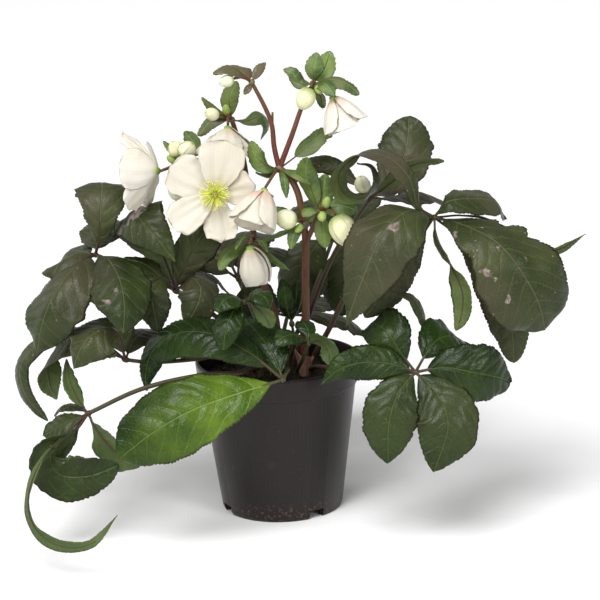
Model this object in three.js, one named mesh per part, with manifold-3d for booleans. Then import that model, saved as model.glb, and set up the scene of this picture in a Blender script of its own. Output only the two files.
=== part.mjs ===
// A hellebore (Christmas rose) in flower, growing in a round plastic nursery pot.
// Millimetres, +Z up, origin at the centre of the pot's foot, front of the plant towards -Y.
//
// The plant is drafted from its front. A station [across, up, forward] is where a point is seen on a
// drawing sheet through the foot's centre, and how far it stands in front of the pot's axis. A blade
// (leaflet, bract or sepal) is a list of such stations along its rib, a half width and the way that its
// upper side faces, as directions [right, up, forward].
import * as THREE from "three";
import { mergeVertices } from "three/addons/utils/BufferGeometryUtils.js";
import Module from "manifold-3d";

const wasm = await Module();
wasm.setup();
const { PI, cos, sin, tan, abs, min, max, sqrt } = Math;
const radians = THREE.MathUtils.degToRad;

// ---- Driving dimensions ----------------------------------------------------------------------------
const POT = {
  height: 121,
  rimRadius: 65, // outside of the collar's lip
  collarRadius: 63.3, // outside of the collar's lower edge
  collarHeight: 19,
  shoulderRadius: 61.3, // wall just below the collar
  footRadius: 47.9,
  footRound: 2.6,
  footWidth: 4, // width of the ring that the pot stands on
  padRadius: 14, // round pad in the middle of the pot's underside
  wall: 1.5,
  floorHeight: 7.5, // underside of the pot's floor
  notchHeight: 7,
  notchWidth: 13,
  notchAngles: [34, -65, 214, 115], // degrees from the front, two opposite pairs
  drainRadius: 5,
  drainRing: 27,
  sides: 30,
};
const SOIL = { top: 108, dome: 3, lump: 1.1, rings: 3, sides: 24, hole: 24 };
const FIT = 0.35; // clearance where one piece stands in or on another
const SEAT = 0.4; // from the end of a stalk to the flower or bud on it
const RECEPTACLE = { below: 3.6, above: 2.4, radius: 3.1 }; // a flower's base, round the sepals' feet
const BLADE = { thick: 0.85, stalk: 0.85, tip: 0.45, tooth: 1.7 };
const SHEET = { tilt: radians(15.5), lean: radians(2), eye: 2200, centre: [13.6, 164.8], drop: 3.2 };

// ---- Leaves ----------------------------------------------------------------------------------------
// foot is where the stalk stands in the soil, [x, y]. stalk ends at the hub, where every leaflet starts.
// A leaflet is [stations after the hub, half width, facings from base to tip, droop of its edges in
// degrees, share of its length that is bare stalk, share at which it is widest].
const LEAVES = [
  { name: "leaf_left_high", foot: [-17, 6], thick: 2.2, tone: "dark",
    stalk: [[-32, 130, -12], [-62, 158, -26], [-108, 184, -32], [-140, 197, -12], [-150, 201, 8]],
    leaflets: [
      [[[-147, 215, 18], [-146, 234, 22], [-145, 251, 14], [-145, 259, -4], [-142, 256, -28]],
        21.5, [[0, 0.3, 1], [0, 0.7, 0.8], [0, 1, -0.3]], 12, 0.1, 0.8],
      [[[-163, 203, 20], [-177, 196, 28], [-193, 186, 28]],
        15, [[-0.2, 1, 0.1], [-0.3, 1, 0.4]], 34, 0.1, 0.56],
      [[[-165, 193, 36], [-181, 173, 52], [-192, 149, 58], [-197, 124, 52]],
        28, [[-0.2, 1, 0.5], [-0.6, 0.5, 0.8], [-0.5, 0.1, 1]], 24, 0.08, 0.62],
      [[[-139, 196, 36], [-130, 178, 58], [-127, 158, 74], [-128, 138, 80]],
        26, [[0.1, 0.9, 0.6], [0.2, 0.5, 0.9], [0.1, 0.2, 1]], 20, 0.08, 0.56],
      [[[-148, 216, -22], [-144, 228, -50], [-140, 232, -80]],
        18, [[0, 1, 0.2], [0, 1, -0.4]], 14, 0.1, 0.56],
      [[[-162, 204, -10], [-172, 204, -30], [-178, 192, -50]],
        15, [[-0.3, 1, 0], [-0.7, 0.7, -0.2]], 14, 0.1, 0.56],
    ] },
  { name: "leaf_left_inner", foot: [-12, -5], thick: 2.2, tone: "dark",
    stalk: [[-22, 134, 10], [-44, 152, 14], [-86, 172, 5]],
    leaflets: [
      [[[-95, 199, -12], [-110, 222, -15], [-120, 237, 1], [-111, 225, 22], [-100, 213, 31],
        [-86, 195, 35]],
        24, [[0.4, 0.4, -1], [-0.2, 1, -0.4], [-0.3, 0.6, 1], [-0.2, 0.3, 1]], 14, 0.06, 0.46],
      [[[-78, 194, 14], [-67, 213, 18], [-58, 226, 8], [-50, 232, -12]],
        17, [[0, 0.3, 1], [0.1, 0.6, 0.9], [0.2, 1, 0.1]], 12, 0.06, 0.56],
      [[[-73, 182, 18], [-66, 174, 28], [-69, 160, 34], [-79, 144, 34]],
        18, [[0.3, 1, 0.3], [0.4, 0.5, 0.9], [-0.2, 0.1, 1]], 18, 0.08, 0.56],
      [[[-97, 181, 14], [-105, 173, 24], [-103, 156, 30], [-100, 139, 32]],
        14.5, [[-0.3, 1, 0.4], [-0.3, 0.4, 1], [0.1, 0.2, 1]], 14, 0.1, 0.56],
      [[[-96, 181, 10], [-110, 193, 10], [-128, 198, 6]],
        14, [[0.2, 1, 0.4], [-0.2, 1, 0.4]], 14, 0.1, 0.56],
      [[[-70, 183, -8], [-55, 184, -24], [-44, 170, -34]],
        13, [[0.1, 1, 0.1], [0.7, 0.7, -0.2]], 14, 0.1, 0.56],
      [[[-84, 186, -22], [-80, 200, -46], [-76, 205, -76]], 18, [[0, 1, 0.2], [0, 1, -0.4]], 14, 0.1, 0.56],
    ] },
  { name: "leaf_left_low", foot: [-21, -7], thick: 2.1, tone: "dark",
    stalk: [[-42, 122, 22], [-66, 118, 32], [-106, 115, 38], [-126, 117, 40]],
    leaflets: [
      [[[-133, 138, 50], [-147, 140, 61], [-160, 129, 71], [-168, 110, 71]],
        24, [[0.1, 0.5, 0.9], [-0.2, 0.9, 0.6], [-0.5, 0.3, 1]], 20, 0.08, 0.5],
      [[[-140, 124, 30], [-153, 123, 18], [-166, 116, 6]],
        15, [[0, 1, -0.5], [-0.2, 0.8, -0.7]], 10, 0.1, 0.56],
      [[[-150, 134, 34], [-173, 131, 30], [-188, 117, 26], [-187, 98, 22], [-181, 85, 18]],
        15, [[-0.1, 1, 0.4], [-0.8, 0.6, 0.3], [-0.2, 0.2, -1]], 12, 0.1, 0.52],
      [[[-158, 138, 18], [-190, 133, 4], [-210, 113, 4], [-207, 90, 8], [-188, 68, 10]],
        10, [[-0.2, 1, 0.2], [-0.9, 0.4, 0.4], [-0.5, 0.1, 1]], 12, 0.18, 0.56],
      [[[-120, 132, 26], [-112, 140, 10], [-106, 142, -8]],
        13, [[0.2, 1, 0.2], [0.3, 1, -0.3]], 14, 0.1, 0.56],
    ] },
  { name: "leaf_left_front", foot: [-18, -16], thick: 2.3, tone: "dark",
    stalk: [[-26, 110, 48], [-38, 106, 62], [-62, 105, 64], [-112, 94, 62], [-156, 74, 62]],
    leaflets: [
      [[[-166, 88, 54], [-172, 102, 44], [-173, 118, 34]], 8, [[-0.6, 0.3, -0.8]], 10, 0.12, 0.5],
      [[[-166, 80, 48], [-177, 80, 40], [-182, 72, 30]],
        8, [[-0.1, 1, 0.1], [-0.8, 0.5, -0.4]], 14, 0.1, 0.56],
      [[[-168, 69, 64], [-181, 63, 64], [-192, 56, 60]],
        13, [[-0.1, 1, 0.5], [-0.4, 0.6, 0.8]], 14, 0.1, 0.56],
      [[[-176, 56, 82], [-193, 36, 98], [-203, 7, 112], [-198, -17, 132], [-179, -31, 148], [-154, -30, 156],
        [-132.5, -7, 150]],
        6.4, [[0.2, 0.8, -0.5], [0.8, 0.3, -0.6], [1, -0.2, -0.4], [0.3, 0.9, -0.5]], 16, 0.05, 0.5],
      [[[-149, 62, 70], [-138, 48, 76], [-124, 37, 78], [-115, 31, 76]],
        17, [[0.4, 0.7, -0.6], [0.2, 0.3, -1]], 10, 0.08, 0.56],
      [[[-168, 57, 76], [-186, 41, 84], [-180, 26, 86], [-156, 24, 86], [-131, 33, 82]],
        19, [[0, 0.8, -0.5], [-0.2, 0.1, -1], [0, 0, -1]], 10, 0.12, 0.6],
    ] },
  { name: "leaf_front", foot: [4, -24], thick: 2.2, tone: "bright",
    stalk: [[4, 109, 52], [2, 106, 70], [0, 101, 80]],
    leaflets: [
      [[[-36, 90, 96], [-74, 76, 108], [-105, 58, 110], [-131, 38, 104]],
        29, [[0, 0.7, 0.7], [-0.1, 0.4, 1], [-0.4, 0.1, 1]], 10, 0.07, 0.66],
      [[[-26, 122, 76], [-58, 138, 68], [-88, 137, 56], [-106, 121, 48], [-110, 104, 50], [-110, 92, 52]],
        21, [[-0.3, 1, 0.5], [-0.3, 0.9, 0.6], [-0.7, 0.4, 0.7]], 18, 0.1, 0.46],
      [[[-8, 121, 70], [-20, 138, 54], [-31, 150, 36]],
        18, [[-0.3, 0.5, 0.8], [-0.2, 0.9, 0.5]], 14, 0.08, 0.56],
    ] },
  { name: "leaf_right_low", foot: [26, -18], thick: 2.1, tone: "dark",
    stalk: [[42, 110, 56], [72, 107, 78], [106, 107, 92]],
    leaflets: [
      [[[90, 113, 94], [66, 115, 100], [46, 110, 102], [30, 97, 98]],
        14, [[0, 0.5, 0.9], [-0.2, 0.3, 1], [-0.4, 0.1, 1]], 10, 0.06, 0.42],
      [[[94, 123, 88], [85, 137, 84], [75, 145, 74], [64, 141, 60]],
        19, [[-0.2, 0.4, 1], [-0.3, 0.6, 0.9], [-0.5, 1, 0.2]], 10, 0.16, 0.56],
      [[[114, 121, 90], [122, 132, 84], [134, 136, 72], [149, 128, 54]],
        20, [[0.1, 0.4, 1], [0.2, 0.7, 0.9], [0.5, 1, 0.1]], 10, 0.16, 0.6],
      [[[130, 111, 96], [152, 107, 100], [171, 103, 92], [182, 99, 76]],
        23, [[0, 0.5, 1], [0.1, 0.2, 1], [0.5, 0.1, 1], [1, 0.1, 0.4]], 10, 0.1, 0.56],
      [[[93, 92, 104], [85, 68, 114], [84, 34, 114]], 22, [[-0.2, 0.4, 1], [0, 0.1, 1]], 8, 0.04, 0.5],
      [[[123, 90, 104], [132, 66, 116], [121, 27, 118]], 25, [[0.2, 0.4, 1], [0, 0.1, 1]], 8, 0.04, 0.5],
    ] },
  { name: "leaf_right_high", foot: [28, 8], thick: 2.4, tone: "dark",
    stalk: [[36, 140, -4], [60, 185, 5], [96, 222, 28], [121, 231, 45]],
    leaflets: [
      [[[100, 236, 66], [80, 218, 84], [64, 183, 92], [50, 144, 88]],
        30, [[-0.1, 1, 0.4], [-0.3, 0.5, 0.9], [-0.4, 0.2, 1]], 18, 0.06, 0.4],
      [[[106, 212, 48], [93, 190, 56], [79, 168, 58], [65, 151, 56]],
        15, [[-0.2, 0.7, 0.7], [-0.1, 0.1, 1]], 14, 0.1, 0.6],
      [[[108, 211, 52], [94, 191, 60], [84, 174, 67], [92, 170, 71], [103, 167, 71], [111, 155, 69],
        [115, 137, 64]],
        6, [[-0.2, 0.7, 0.7], [-0.1, 0.9, 0.6], [0.3, 0.8, 0.6], [0.8, 0.3, 0.6]], 20, 0.6, 0.5],
      [[[123, 214, 54], [135, 193, 62], [144, 171, 70], [143, 153, 73], [138, 140, 76]], 10,
        [[0.4, 0.8, 0.4], [0.9, 0.2, 0.35], [0.6, 0, -0.9], [0.2, 0.3, -1]], 14, 0.08, 0.6],
      [[[147, 224, 62], [172, 210, 78], [191, 187, 86], [205, 161, 84], [210, 141, 72]],
        36, [[0.1, 1, 0.4], [0.3, 0.6, 0.9], [0.2, 0.1, 1]], 12, 0.05, 0.74],
      [[[152, 206, 40], [172, 172, 48], [183, 140, 50], [185, 114, 46]],
        17, [[0.2, 0.8, 0.6], [0.2, 0.2, 1], [0, 0.1, 1]], 12, 0.1, 0.66],
      [[[157, 232, 30], [188, 216, 20], [216, 205, 20], [242, 218, 28]],
        9, [[0.1, 1, 0.1], [-0.1, 1, -0.5], [-0.3, 0.7, -0.8]], 10, 0.14, 0.5],
      [[[131, 243, 54], [152, 246, 44], [171, 243, 28], [178, 229, 12]],
        16, [[0, 0.9, 0.6], [0.3, 0.9, 0.4], [1, 0.2, -0.1]], 12, 0.04, 0.5],
      [[[108, 240, 54], [101, 262, 58], [82, 280, 58], [60, 281, 56], [44, 266, 54], [48, 249, 52],
        [63, 245, 50], [75, 256, 48], [71, 271, 46], [59, 274, 44]],
        15, [[0.3, 0.3, 0.8], [0.6, 0.3, 0.8], [0.6, 0.5, 0.6], [0.1, 1, 0.2], [-0.5, 0.85, -0.3], [-1, 0, -0.6],
          [-0.1, -1, -0.1], [1, 0, 0.6], [0, 1, 0.1]], 4, 0.06, 0.5],
    ] },
  { name: "leaf_right_top", foot: [14, 12], thick: 2.2, tone: "dark",
    stalk: [[20, 150, -16], [40, 200, -6], [60, 232, 6], [70, 246, 18]],
    leaflets: [
      [[[87, 262, 12], [98, 284, 4], [101, 312, -14]], 22, [[0, 0.3, 1], [0, 0.5, 1]], 8, 0.1, 0.62],
      [[[86, 259, 26], [106, 274, 30], [129, 276, 30]], 10, [[0, 0.6, -0.8], [0, 0.8, -0.6]], 8, 0.1, 0.56],
      [[[54, 262, 4], [34, 274, -6], [16, 271, -10], [8, 256, -8]],
        8, [[-0.2, 1, 0.2], [-0.8, 0.6, 0.3], [-1, 0, 0.5]], 12, 0.16, 0.56],
      [[[76, 252, -10], [84, 258, -40], [90, 253, -70]], 18, [[0, 1, 0.2], [0.2, 1, -0.5]], 14, 0.1, 0.56],
      [[[90, 247, 0], [112, 250, -22], [130, 243, -46]], 15, [[0.1, 1, 0], [0.6, 0.8, -0.3]], 14, 0.1, 0.56],
    ] },
  { name: "leaf_back_left", foot: [-12, 18], thick: 2.1, tone: "dark",
    stalk: [[-18, 140, -24], [-28, 164, -44], [-36, 182, -58]],
    leaflets: [
      [[[-60, 196, -62], [-80, 192, -70], [-94, 178, -76]],
        20, [[-0.2, 1, 0.1], [-0.8, 0.7, 0.1]], 16, 0.1, 0.56],
      [[[-50, 210, -80], [-62, 222, -110], [-70, 214, -140]],
        24, [[-0.1, 1, 0.2], [-0.3, 0.8, -0.6]], 16, 0.1, 0.56],
      [[[-34, 210, -88], [-28, 220, -120], [-22, 212, -150]],
        24, [[0, 1, 0.2], [0, 0.8, -0.6]], 16, 0.1, 0.56],
      [[[-18, 201, -78], [-1, 206, -104], [12, 194, -122]],
        21, [[0.1, 1, 0.2], [0.4, 0.8, -0.4]], 16, 0.1, 0.56],
      [[[-28, 178, -48], [-20, 162, -50], [-16, 140, -50]],
        18, [[0.1, 0.7, 0.7], [0.1, 0.2, 1]], 16, 0.1, 0.56],
    ] },
  { name: "leaf_back_right", foot: [8, 22], thick: 2.1, tone: "dark",
    stalk: [[20, 158, -34], [32, 192, -52], [40, 214, -66]],
    leaflets: [
      [[[60, 222, -80], [84, 222, -100], [100, 206, -112]],
        22, [[0.1, 1, 0.2], [0.6, 0.8, -0.2]], 16, 0.1, 0.56],
      [[[50, 236, -90], [58, 250, -124], [64, 244, -156]], 24, [[0, 1, 0.2], [0, 0.8, -0.6]], 16, 0.1, 0.56],
      [[[32, 232, -88], [20, 244, -118], [10, 238, -148]],
        23, [[-0.1, 1, 0.2], [-0.4, 0.8, -0.5]], 16, 0.1, 0.56],
      [[[48, 203, -58], [51, 180, -60], [47, 152, -58]],
        24, [[0.2, 0.8, 0.6], [0.1, 0.2, 1]], 16, 0.1, 0.56],
      [[[27, 209, -54], [18, 196, -54], [11, 176, -56], [6, 152, -56]],
        23, [[-0.2, 0.8, 0.6], [-0.3, 0.2, 1]], 16, 0.1, 0.56],
    ] },
  { name: "leaf_back_low", foot: [-2, 27], thick: 2.1, tone: "dark",
    stalk: [[0, 138, -50], [3, 150, -72], [4, 152, -92]],
    leaflets: [
      [[[-20, 156, -104], [-46, 150, -118], [-66, 132, -126]],
        22, [[-0.2, 1, 0.1], [-0.7, 0.7, -0.3]], 16, 0.1, 0.56],
      [[[-10, 162, -124], [-22, 168, -158], [-32, 156, -190]],
        24, [[-0.1, 1, 0.2], [-0.2, 0.8, -0.6]], 16, 0.1, 0.56],
      [[[16, 162, -124], [26, 168, -158], [34, 156, -190]],
        24, [[0, 1, 0.2], [0.1, 0.8, -0.6]], 16, 0.1, 0.56],
      [[[28, 154, -104], [52, 150, -118], [70, 134, -128]],
        22, [[0.1, 1, 0.2], [0.6, 0.7, -0.4]], 16, 0.1, 0.56],
    ] },
  { name: "young_leaf_left", foot: [-4, -15], thick: 1.6, tone: "bright",
    stalk: [[-6, 132, 22], [-14, 153, 34], [-24, 163, 50], [-31, 163, 62]],
    leaflets: [
      [[[-39, 168, 72], [-47, 165, 80], [-53, 155, 84]],
        12, [[-0.1, 1, 0.5], [-0.4, 0.6, 0.8]], 14, 0.08, 0.56],
      [[[-23, 170, 68], [-15, 167, 74], [-10, 158, 77]],
        10, [[0.1, 1, 0.5], [0.5, 0.6, 0.8]], 14, 0.08, 0.56],
      [[[-38, 158, 74], [-45, 144, 86], [-48, 124, 91]],
        12, [[-0.2, 0.8, 0.6], [-0.1, 0.2, 1]], 12, 0.08, 0.56],
      [[[-22, 160, 66], [-14, 152, 69], [-9, 142, 67]],
        9, [[0.3, 0.6, -0.8], [0.2, 0.3, -1]], 10, 0.08, 0.56],
    ] },
  { name: "young_leaf_right", foot: [15, -25], thick: 1.7, tone: "bright",
    stalk: [[16, 118, 40], [20, 130, 52]],
    leaflets: [
      [[[12, 137, 64], [2, 136, 73], [-6, 128, 78]], 11, [[-0.1, 1, 0.5], [-0.3, 0.6, 0.8]], 12, 0.08, 0.56],
      [[[30, 133, 60], [37, 125, 66], [38, 112, 70]],
        11, [[0.6, 0.6, -0.5], [0.4, 0.2, -0.9]], 10, 0.08, 0.56],
      [[[20, 140, 46], [16, 147, 38], [12, 148, 30]], 8, [[0, 0.8, 0.5], [0, 1, 0.1]], 12, 0.08, 0.56],
    ] },
  { name: "young_leaf_centre", foot: [9, 2], thick: 1.5, tone: "bright",
    stalk: [[9, 132, 6], [7, 146, 14]],
    leaflets: [
      [[[3, 160, 20], [1, 172, 20], [-1, 182, 14]], 7, [[-0.2, 0.2, 1], [0, 0.6, 0.8]], 12, 0.08, 0.56],
      [[[9, 158, 14], [11, 170, 10], [11, 180, 4]], 6, [[0.4, 0.3, 0.8]], 12, 0.08, 0.56],
    ] },
];

// ---- Flower stems ----------------------------------------------------------------------------------
// A stem's main stalk starts at its foot in the soil. A branch is [stations, radius at its start, at its
// end]. buds are small green buds, [end of a stalk, tip, radius].
const STEMS = [
  { name: "flower_stem_right", foot: [21, -5], thick: 3.6, tip: 2.4,
    stalk: [[18, 141, 10], [18, 181, 18], [18, 213, 26], [15, 235, 29], [12, 250, 28], [6, 262, 24],
      [-3, 271, 20]],
    branches: [
      [[[-3, 270, 20], [-7, 287, 18], [-9, 305, 16], [-14, 318, 16], [-25, 339, 18]], 2.2, 1.5],
      [[[-3, 270, 20], [2, 283, 20], [8, 299, 18], [15, 319, 14], [24, 338, 12]], 2.2, 1.6],
      [[[18, 210, 26], [24, 223, 31], [30, 237, 35]], 2.2, 1.8],
      [[[-9, 302, 16], [-8.5, 309, 16], [-8.4, 315, 16]], 1.3, 0.8],
      [[[30, 237, 35], [37, 239, 40], [42, 233, 46]], 1.3, 1.0],
      [[[30, 237, 35], [42, 244, 28], [54, 246, 24], [65, 250, 25]], 1.2, 1.0],
      [[[24, 338, 12], [32, 336, 16], [39, 329, 21]], 1.3, 1.0],
      [[[24, 338, 12], [24, 339, 17], [22, 335, 22]], 1.2, 1.0],
      [[[16, 228, 29], [14, 229, 34], [11, 228, 39]], 1.3, 1.0],
      [[[-4, 269, 21], [-7, 266, 36], [-14, 255, 50]], 1.3, 1.1],
      [[[-25, 339, 18], [-32, 343, 23], [-39, 342, 27]], 1.2, 1.0],
    ],
    buds: [
      [[27, 336, 19], [30, 330, 26], 3.0],
      [[34, 239, 41], [36, 247, 46], 3.4],
      [[31, 235, 43], [31, 228, 50], 3.6],
      [[15, 225, 35], [10, 219, 42], 3.0],
    ] },
  { name: "flower_stem_left", foot: [-2, -3], thick: 3.2, tip: 1.9,
    stalk: [[-5, 145, 8], [-12, 169, 12], [-18, 186, 14], [-22, 209, 12], [-26, 235, 6], [-29, 261, -8],
      [-33, 284, -18], [-41, 309, -14]],
    branches: [
      [[[-41, 309, -13], [-44, 312, -5], [-44, 305, 3]], 1.3, 1.1],
      [[[-30, 268, -12], [-48, 278, -20], [-66, 282, -12], [-80, 277, 8]], 1.9, 1.5],
      [[[-80, 277, 8], [-88, 272, 12], [-98, 268, 17]], 1.4, 1.2],
      [[[-80, 277, 8], [-83, 277, 8], [-83, 279, 10]], 1.2, 1.0],
      [[[-75, 280, 1], [-81, 278, 14], [-82, 279, 19]], 1.1, 0.9],
      [[[-80, 277, 8], [-83, 268, 7], [-84, 261, 12]], 1.2, 1.0],
      [[[-26, 240, 5], [-40, 251, 16], [-54, 250, 30]], 1.5, 1.3],
      [[[-22, 212, 13], [-25, 216, 26], [-27, 209, 33]], 1.3, 1.1],
      [[[-41, 309, -13], [-48, 313, -8], [-52, 312, -2]], 1.2, 1.0],
    ],
    buds: [
      [[-45, 313, -10], [-46, 321, -5], 3.2],
      [[-85, 275, 9], [-93, 280, 9], 3.2],
    ] },
];

// Bracts: small leaves in tufts on the flower stems. at is the tuft's middle, inside the stalk. A bract
// is [stations, half width, facings, droop, share that is bare stalk].
const TUFTS = [
  { name: "bracts_top_left", stem: 0, at: [-25, 339, 18], size: 3.4, bracts: [
    [[[-38, 350, 24], [-48, 350, 28], [-56, 346, 32]], 8, [[0, 1, 0.3], [-0.2, 0.9, 0.6]], 22, 0.1],
    [[[-20, 348, 14], [-14, 355, 8]], 4, [[0.2, 0.5, 0.8]], 12, 0.1],
    [[[-33, 350, 8], [-43, 352, -4]], 8, [[0, 1, 0.2], [-0.3, 1, -0.2]], 16, 0.1],
    [[[-28, 334, 22], [-31, 329, 26]], 3, [[-0.3, 0.2, 1]], 10, 0.1],
  ] },
  { name: "bracts_top_right", stem: 0, at: [24, 338, 12], size: 3.6, bracts: [
    [[[25, 350, 15], [27, 363, 12]], 7.5, [[0, 0.2, 1]], 12, 0.1],
    [[[33, 350, 4], [38, 364, 0]], 9, [[0.3, 0.2, -0.9]], 12, 0.1],
    [[[40, 341, 16], [52, 337, 20], [61, 329, 20]], 8, [[0.1, 1, 0.4], [0.3, 0.8, 0.6]], 18, 0.1],
    [[[33, 338, 24], [41, 328, 32]], 7, [[0, 1, 0.4], [0.1, 0.6, 0.8]], 16, 0.1],
    [[[14, 338, 6], [7, 347, 4], [0, 349, 2]], 5.5, [[0, 0.8, 0.6], [-0.3, 0.3, 1]], 10, 0.1],
    [[[30, 328, 2], [32, 318, -4]], 6, [[0.4, 0.8, -0.3]], 12, 0.1],
  ] },
  { name: "bracts_fork", stem: 0, at: [-3, 270, 20], size: 4.6, bracts: [
    [[[-12, 272, 28], [-21, 279, 32], [-26, 292, 31]], 8, [[-0.1, 0.9, 0.6], [-0.4, 0.3, 1]], 18, 0.1],
    [[[9, 279, 12], [21, 289, 6], [33, 298, 2], [40, 296, -2]], 8.5, [[-0.3, 0.6, 0.8]], 14, 0.3],
    [[[-13, 265, 26], [-22, 267, 30]], 4, [[0, 1, 0.4]], 16, 0.1],
    [[[1, 261, 32], [3, 246, 36]], 3.6, [[0.2, 0.7, 0.8], [0.2, 0.1, 1]], 10, 0.1],
    [[[12, 266, 30], [22, 257, 36]], 6, [[0.1, 1, 0.3], [0.5, 0.6, 0.7]], 16, 0.1],
  ] },
  { name: "bracts_right", stem: 0, at: [29, 235, 34], size: 3.8, bracts: [
    [[[32, 250, 31], [34, 266, 28]], 9, [[-0.1, 0.2, 1]], 16, 0.1],
    [[[23, 252, 32], [18, 268, 36], [20, 279, 42]], 9, [[-0.4, 0.1, 0.9], [-0.2, -0.4, 0.9]], 16, 0.1],
    [[[22, 238, 46], [16, 231, 52]], 7, [[-0.1, 1, 0.4], [-0.3, 0.7, 0.7]], 14, 0.1],
    [[[46, 240, 36], [60, 236, 34]], 9, [[0, 0.7, 0.8], [0.2, 0.7, 0.7]], 14, 0.1],
    [[[32, 219, 40], [34, 206, 42]], 7, [[0.1, 0.4, 1], [0, 0.1, 1]], 12, 0.1],
  ] },
  { name: "bracts_middle", stem: 0, at: [17, 225, 28], size: 5.2, bracts: [
    [[[9, 218, 42], [6, 205, 46]], 5, [[-0.1, 0.6, 0.8], [0, 0.1, 1]], 12, 0.14],
    [[[5, 232, 22], [-6, 240, 14]], 6, [[-0.1, 1, 0.2], [-0.4, 0.9, 0.1]], 14, 0.14],
    [[[24, 233, 17], [32, 240, 8]], 7, [[0.1, 1, 0.1], [0.5, 0.9, -0.1]], 14, 0.14],
    [[[4, 222, 22], [-6, 216, 16]], 7, [[-0.1, 1, 0.2], [-0.4, 0.9, 0.1]], 14, 0.14],
  ] },
  { name: "bracts_left_top", stem: 1, at: [-41, 309, -13], size: 3.6, bracts: [
    [[[-43, 325, -12], [-37, 340, -10]], 7.5, [[-0.1, 0.1, 1]], 12, 0.1],
    [[[-55, 317, -12], [-65, 327, -10]], 5, [[0.2, 0.8, 0.6]], 16, 0.1],
    [[[-57, 308, -14], [-68, 296, -14]], 7, [[-0.2, 1, 0.3], [-0.6, 0.2, 0.8]], 14, 0.1],
    [[[-29, 308, -18], [-17, 312, -20], [-13, 302, -14], [-18, 293, -10]], 8,
      [[0, 1, 0.2], [0.7, 0.6, 0.2], [0.6, -0.6, 0.6]], 14, 0.1],
  ] },
  { name: "bracts_left_side", stem: 1, at: [-79, 277, 8], size: 3.9, bracts: [
    [[[-87, 283, 0], [-96, 292, -3]], 3.6, [[0, 0.8, 0.6]], 12, 0.12],
    [[[-78, 265, 22], [-80, 254, 24]], 5, [[0, 0.8, 0.6], [0, 0.1, 1]], 12, 0.12],
    [[[-72, 290, -2], [-79, 300, -4]], 7, [[0.2, 0.4, 0.9]], 12, 0.12],
    [[[-66, 274, 16], [-61, 268, 18]], 5, [[0, 1, 0.3], [0.2, 0.4, 0.9]], 12, 0.12],
  ] },
  { name: "bracts_over_bell", stem: 1, at: [-22, 211, 13], size: 4.6, bracts: [
    [[[-34, 215, 32], [-38, 205, 40]], 4, [[-0.2, 1, 0.3], [-0.5, 0.4, 0.8]], 12, 0.14],
    [[[-17, 212, 31], [-12, 203, 38]], 4, [[0.2, 1, 0.3], [0.4, 0.4, 0.8]], 12, 0.14],
    [[[-9, 216, 24], [3, 220, 28]], 5, [[0, 1, 0.4]], 16, 0.14],
    [[[-9, 199, 22], [5, 189, 30]], 5, [[0, 1, 0.3], [0.1, 1, 0]], 16, 0.3],
    [[[-38, 206, 22], [-47, 199, 28], [-50, 188, 32]], 8, [[-0.1, 1, 0.3], [-0.5, 0.3, 0.8]], 14, 0.14],
  ] },
  { name: "bracts_left_middle", stem: 1, at: [-27, 247, 1], size: 5, bracts: [
    [[[-16, 252, -4], [-9, 249, -14]], 8, [[0.1, 1, 0.1], [0.4, 0.9, -0.2]], 14, 0.14],
    [[[-38, 238, 0], [-48, 234, -8]], 8, [[-0.1, 1, 0.1], [-0.4, 0.9, -0.2]], 14, 0.14],
    [[[-28, 256, -8], [-34, 264, -20]], 7, [[0, 1, 0.4], [0, 1, 0]], 14, 0.14],
  ] },
];

// ---- Flowers ---------------------------------------------------------------------------------------
// base is the end of the flower's stalk and axis the way the flower looks. A sepal is [angle round the
// axis, length, half width, angle off the axis at its base, at its tip], in degrees, 0 right and 90 up.
// The stamens are as long as stamens says, in millimetres.
const BLOOMS = [
  { name: "flower_front", base: [-54, 250, 30], axis: [-0.04, 0.1, 1], stamens: 11,
    sepals: [[77, 42, 19, 74, 82], [146, 38, 18, 82, 84], [214, 39, 14.5, 76, 84],
      [278, 34, 13.5, 84, 80], [12, 30, 14, 72, 76]] },
  { name: "flower_left", base: [-98, 268, 17], axis: [-0.9, -0.05, -0.42], stamens: 9,
    sepals: [[92, 38, 11, 66, 24], [164, 32, 17, 62, 52], [236, 34, 18, 68, 60],
      [304, 34, 17, 62, 54], [16, 34, 17, 68, 56]] },
  { name: "flower_nodding", base: [-44, 305, 3], axis: [-0.1, -1, 0.24], stamens: 8,
    sepals: [[20, 31, 15, 64, 34], [92, 29, 14, 66, 36], [164, 31, 15, 64, 34],
      [236, 29, 14, 66, 36], [308, 30, 15, 64, 36]] },
  { name: "flower_turned", base: [-14, 255, 50], axis: [-0.36, -0.85, 0.42], stamens: 8,
    sepals: [[60, 33, 14, 54, 0], [132, 32, 14, 56, 4], [204, 33, 14, 54, 0],
      [276, 32, 14, 56, 4], [348, 31, 14, 54, 2]] },
  { name: "flower_top", base: [39, 329, 21], axis: [0.34, -0.9, 0.2], stamens: 7,
    sepals: [[80, 28, 12, 46, 8], [152, 27, 12, 50, 12], [224, 28, 12, 46, 10],
      [296, 27, 12, 52, 16], [8, 27, 12, 50, 16]] },
  { name: "flower_closed", base: [-27, 209, 33], axis: [0.16, -1, 0.08], stamens: 0,
    sepals: [[30, 31, 10.5, 56, -30], [102, 30, 10.5, 60, -32], [174, 31, 10.5, 56, -30],
      [246, 30, 10.5, 60, -32], [318, 30, 10.5, 58, -31]] },
];
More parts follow.
